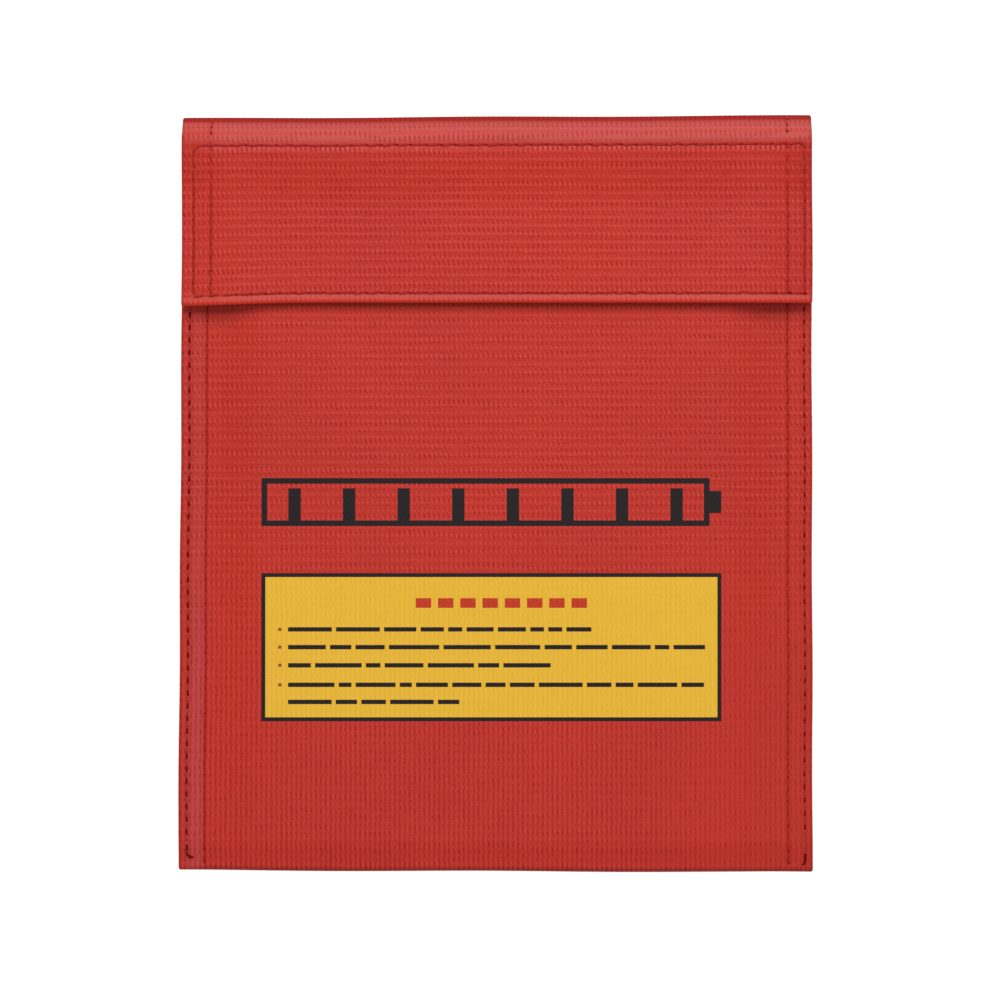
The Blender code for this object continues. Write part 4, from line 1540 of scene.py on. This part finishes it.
def tapeBase(name, low, high, place, material):
    columns = ladder((low.x, high.x, 1.6 * mm))
    lines = ladder((low.y, high.y, 1.2 * mm))
    x, y = np.meshgrid(columns, lines, indexing="ij")
    layers = [place(x, y, level).reshape(-1, 3) for level in (tape["base"], 0.0)]
    kept = np.ones((len(columns) - 1, len(lines) - 1), bool)
    faces, tags = shellFaces(kept, 0, x.size)
    spots = np.stack([x.ravel(), y.ravel()], 1)
    mesh = meshFrom(name, np.concatenate(layers), faces, np.concatenate([spots, spots]), tags * 0, [material])
    return newPiece(name, mesh)


def makeFieldTree(name, makePath, sides, turns, sizes):
    # one fibre of a tape's pile, set on every point of the guide with its own turn and size
    tree, given = newTree(name, [
        ("Height", "NodeSocketFloat"), ("Thickness", "NodeSocketFloat"), ("Bow", "NodeSocketFloat"),
        ("Seed", "NodeSocketInt"), ("Fibre", "NodeSocketMaterial"),
    ])
    board = given["Geometry"]
    path = makePath(board, given["Bow"], given["Height"])
    shape = tube(board, path, given["Thickness"], sides, given["Fibre"])
    turnBy = randomBetween(board, *turns, given["Seed"])
    size = randomBetween(board, *sizes, given["Seed"] + 1)
    field = board.node("GeometryNodeInstanceOnPoints", None, {
        "Points": board, "Instance": shape, "Rotation": standing(board, None, turnBy), "Scale": size,
    })
    endTree(tree, field)
    return tree


def hookPath(board, bow, height):
    # up, over and half way down again, so that the tip is open
    return board.node("GeometryNodeCurvePrimitiveBezierSegment", None, {
        "Resolution": 6,
        "Start": point(board, bow * -0.5, z=height * -0.1),
        "Start Handle": point(board, bow * -0.6, z=height * 1.25),
        "End Handle": point(board, bow * 0.5, z=height * 1.35),
        "End": point(board, bow * 0.5, z=height * 0.55),
    })


def loopPath(board, bow, height):
    foot = point(board, bow * -0.5, z=height * -0.1)
    crest = point(board, y=bow * 0.2, z=height * 2.1)
    return bowed(board, 5, foot, crest, point(board, bow * 0.5, z=height * -0.1))


def inTape(low, high):
    edge = tape["selvedge"]
    return low.x + edge, high.x - edge, low.y + edge, high.y - edge


def tapeRing(low, high, place, level, sign):
    # four rows just inside the tape's edge
    inset = tape["rowInset"]
    left, right, bottom, top = low.x + inset, high.x - inset, low.y + inset, high.y - inset
    runs = []
    for y in (bottom, top):
        x = np.arange(left, right, 0.5 * mm)
        runs.append(place(x, np.full(x.shape, y), level))
    for x in (left, right):
        y = np.arange(bottom + 2 * mm, top - 2 * mm, 0.5 * mm)
        runs.append(place(np.full(y.shape, x), y, level))
    return [("tape", spots, np.tile([0.0, 0.0, sign], (len(spots), 1)), tape["rowPitch"]) for spots in runs]


def makeHookTape():
    base = tapeBase("hook_tape_base", hookLow, hookHigh, underFlap, finishes["hookBase"])
    left, right, bottom, top = inTape(hookLow, hookHigh)
    draw = np.random.default_rng(31)
    columns = np.arange(left, right, tape["hookStep"][0])
    lines = np.arange(bottom, top, tape["hookStep"][1])
    x, y = np.meshgrid(columns, lines, indexing="ij")
    scatter = tape["hookScatter"]
    x = (x + draw.uniform(-scatter, scatter, x.shape) * mm).ravel()
    y = (y + draw.uniform(-scatter, scatter, y.shape) * mm).ravel()
    spots = underFlap(x, y, tape["base"])
    hookTree = makeFieldTree("hookField", hookPath, 4, (-0.25, 0.25), (0.88, 1.06))
    guide = guideObject("hook_guide", [(spots, np.tile([0.0, 0.0, -1.0], (len(spots), 1)))], False)
    values = {
        "Height": tape["hookHeight"], "Thickness": tape["hookThread"], "Bow": tape["hookBow"],
        "Seed": 7, "Fibre": finishes["hooks"],
    }
    hooks = growOn(guide, hookTree, values, "hook_field")
    ring = sewRows("hook_tape_lower_stitches", tapeRing(hookLow, hookHigh, underFlap, tape["base"], -1.0), 73)
    for piece in (base, hooks, ring):
        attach(piece, "flap")
    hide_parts("hook_tape")


def makeLoopTape():
    base = tapeBase("loop_tape_base", loopLow, loopHigh, overFront, finishes["loopBase"])
    left, right, bottom, top = inTape(loopLow, loopHigh)
    draw = np.random.default_rng(37)
    x = draw.uniform(left, right, tape["loopCount"])
    y = draw.uniform(bottom, top, tape["loopCount"])
    spots = overFront(x, y, tape["base"])
    loopTree = makeFieldTree("loopField", loopPath, 3, (0.0, turn), (0.55, 1.1))
    guide = guideObject("loop_guide", [(spots, np.tile([0.0, 0.0, 1.0], (len(spots), 1)))], False)
    values = {
        "Height": tape["loopHeight"], "Thickness": tape["loopThread"], "Bow": tape["loopBow"],
        "Seed": 9, "Fibre": finishes["loops"],
    }
    loops = growOn(guide, loopTree, values, "loop_field")
    ring = sewRows("loop_tape_stitches", tapeRing(loopLow, loopHigh, overFront, tape["base"], 1.0), 83)
    for piece in (base, loops, ring):
        gapeWith(piece)
    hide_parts("loop_tape")
    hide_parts("loop_tape_thread")


makeHookTape()
makeLoopTape()
print("tapes ready")


# floor, light and camera

studio = {
    "view": (1.5 * mm, -2.4 * mm),  # what the camera looks at
    "viewWidth": 292.8 * mm,
    "distance": 2.2,
    "sensor": 36.0,
    "sky": 0.655,
    "keyPower": 22.5,
    "keySize": 0.9,
    "keyPlace": (0.05, 0.95, 1.25),
    "floorTone": (0.26, 0.26, 0.26),
    "floorGlow": 0.90,
    "floorReach": 4.0,
    "floorDrop": 0.8 * mm,  # the opened band dips a little under its hinge
}


def makeFloor():
    mesh = bpy.data.meshes.new("floor")
    reach, level = studio["floorReach"], -studio["floorDrop"]
    corners = [(-reach, -reach, level), (reach, -reach, level), (reach, reach, level), (-reach, reach, level)]
    mesh.from_pydata(corners, [], [(0, 1, 2, 3)])
    floor = newPiece("floor", mesh)
    material, board = newMaterial("paleFloor")
    constants = {
        "Base Color": rgba(studio["floorTone"]), "Roughness": 0.9, "Specular IOR Level": 0.1,
        "Emission Color": rgba((1.0, 1.0, 1.0)), "Emission Strength": studio["floorGlow"],
    }
    finishMaterial(board, constants, {})
    mesh.materials.append(material)


def makeLight():
    scene = bpy.context.scene
    scene.world = bpy.data.worlds.new("studio")
    scene.world.use_nodes = True
    background = scene.world.node_tree.nodes["Background"]
    background.inputs["Color"].default_value = (1.0, 1.0, 1.0, 1.0)
    background.inputs["Strength"].default_value = studio["sky"]
    light = bpy.data.lights.new("softbox", "AREA")
    light.shape = "SQUARE"
    light.size = studio["keySize"]
    light.energy = studio["keyPower"]
    softbox = bpy.data.objects.new("softbox", light)
    softbox.location = studio["keyPlace"]
    softbox.rotation_euler = (-Vector(studio["keyPlace"])).to_track_quat("-Z", "Y").to_euler()
    scene.collection.objects.link(softbox)
    scene.view_settings.view_transform = "Standard"
    scene.view_settings.look = "None"


def makeCamera():
    lens = bpy.data.cameras.new("camera")
    lens.sensor_width = studio["sensor"]
    lens.lens = studio["sensor"] * studio["distance"] / studio["viewWidth"]
    camera = bpy.data.objects.new("camera", lens)
    camera.location = (*studio["view"], studio["distance"] + frontLevel)
    bpy.context.scene.collection.objects.link(camera)
    bpy.context.scene.camera = camera


makeFloor()
makeLight()
makeCamera()
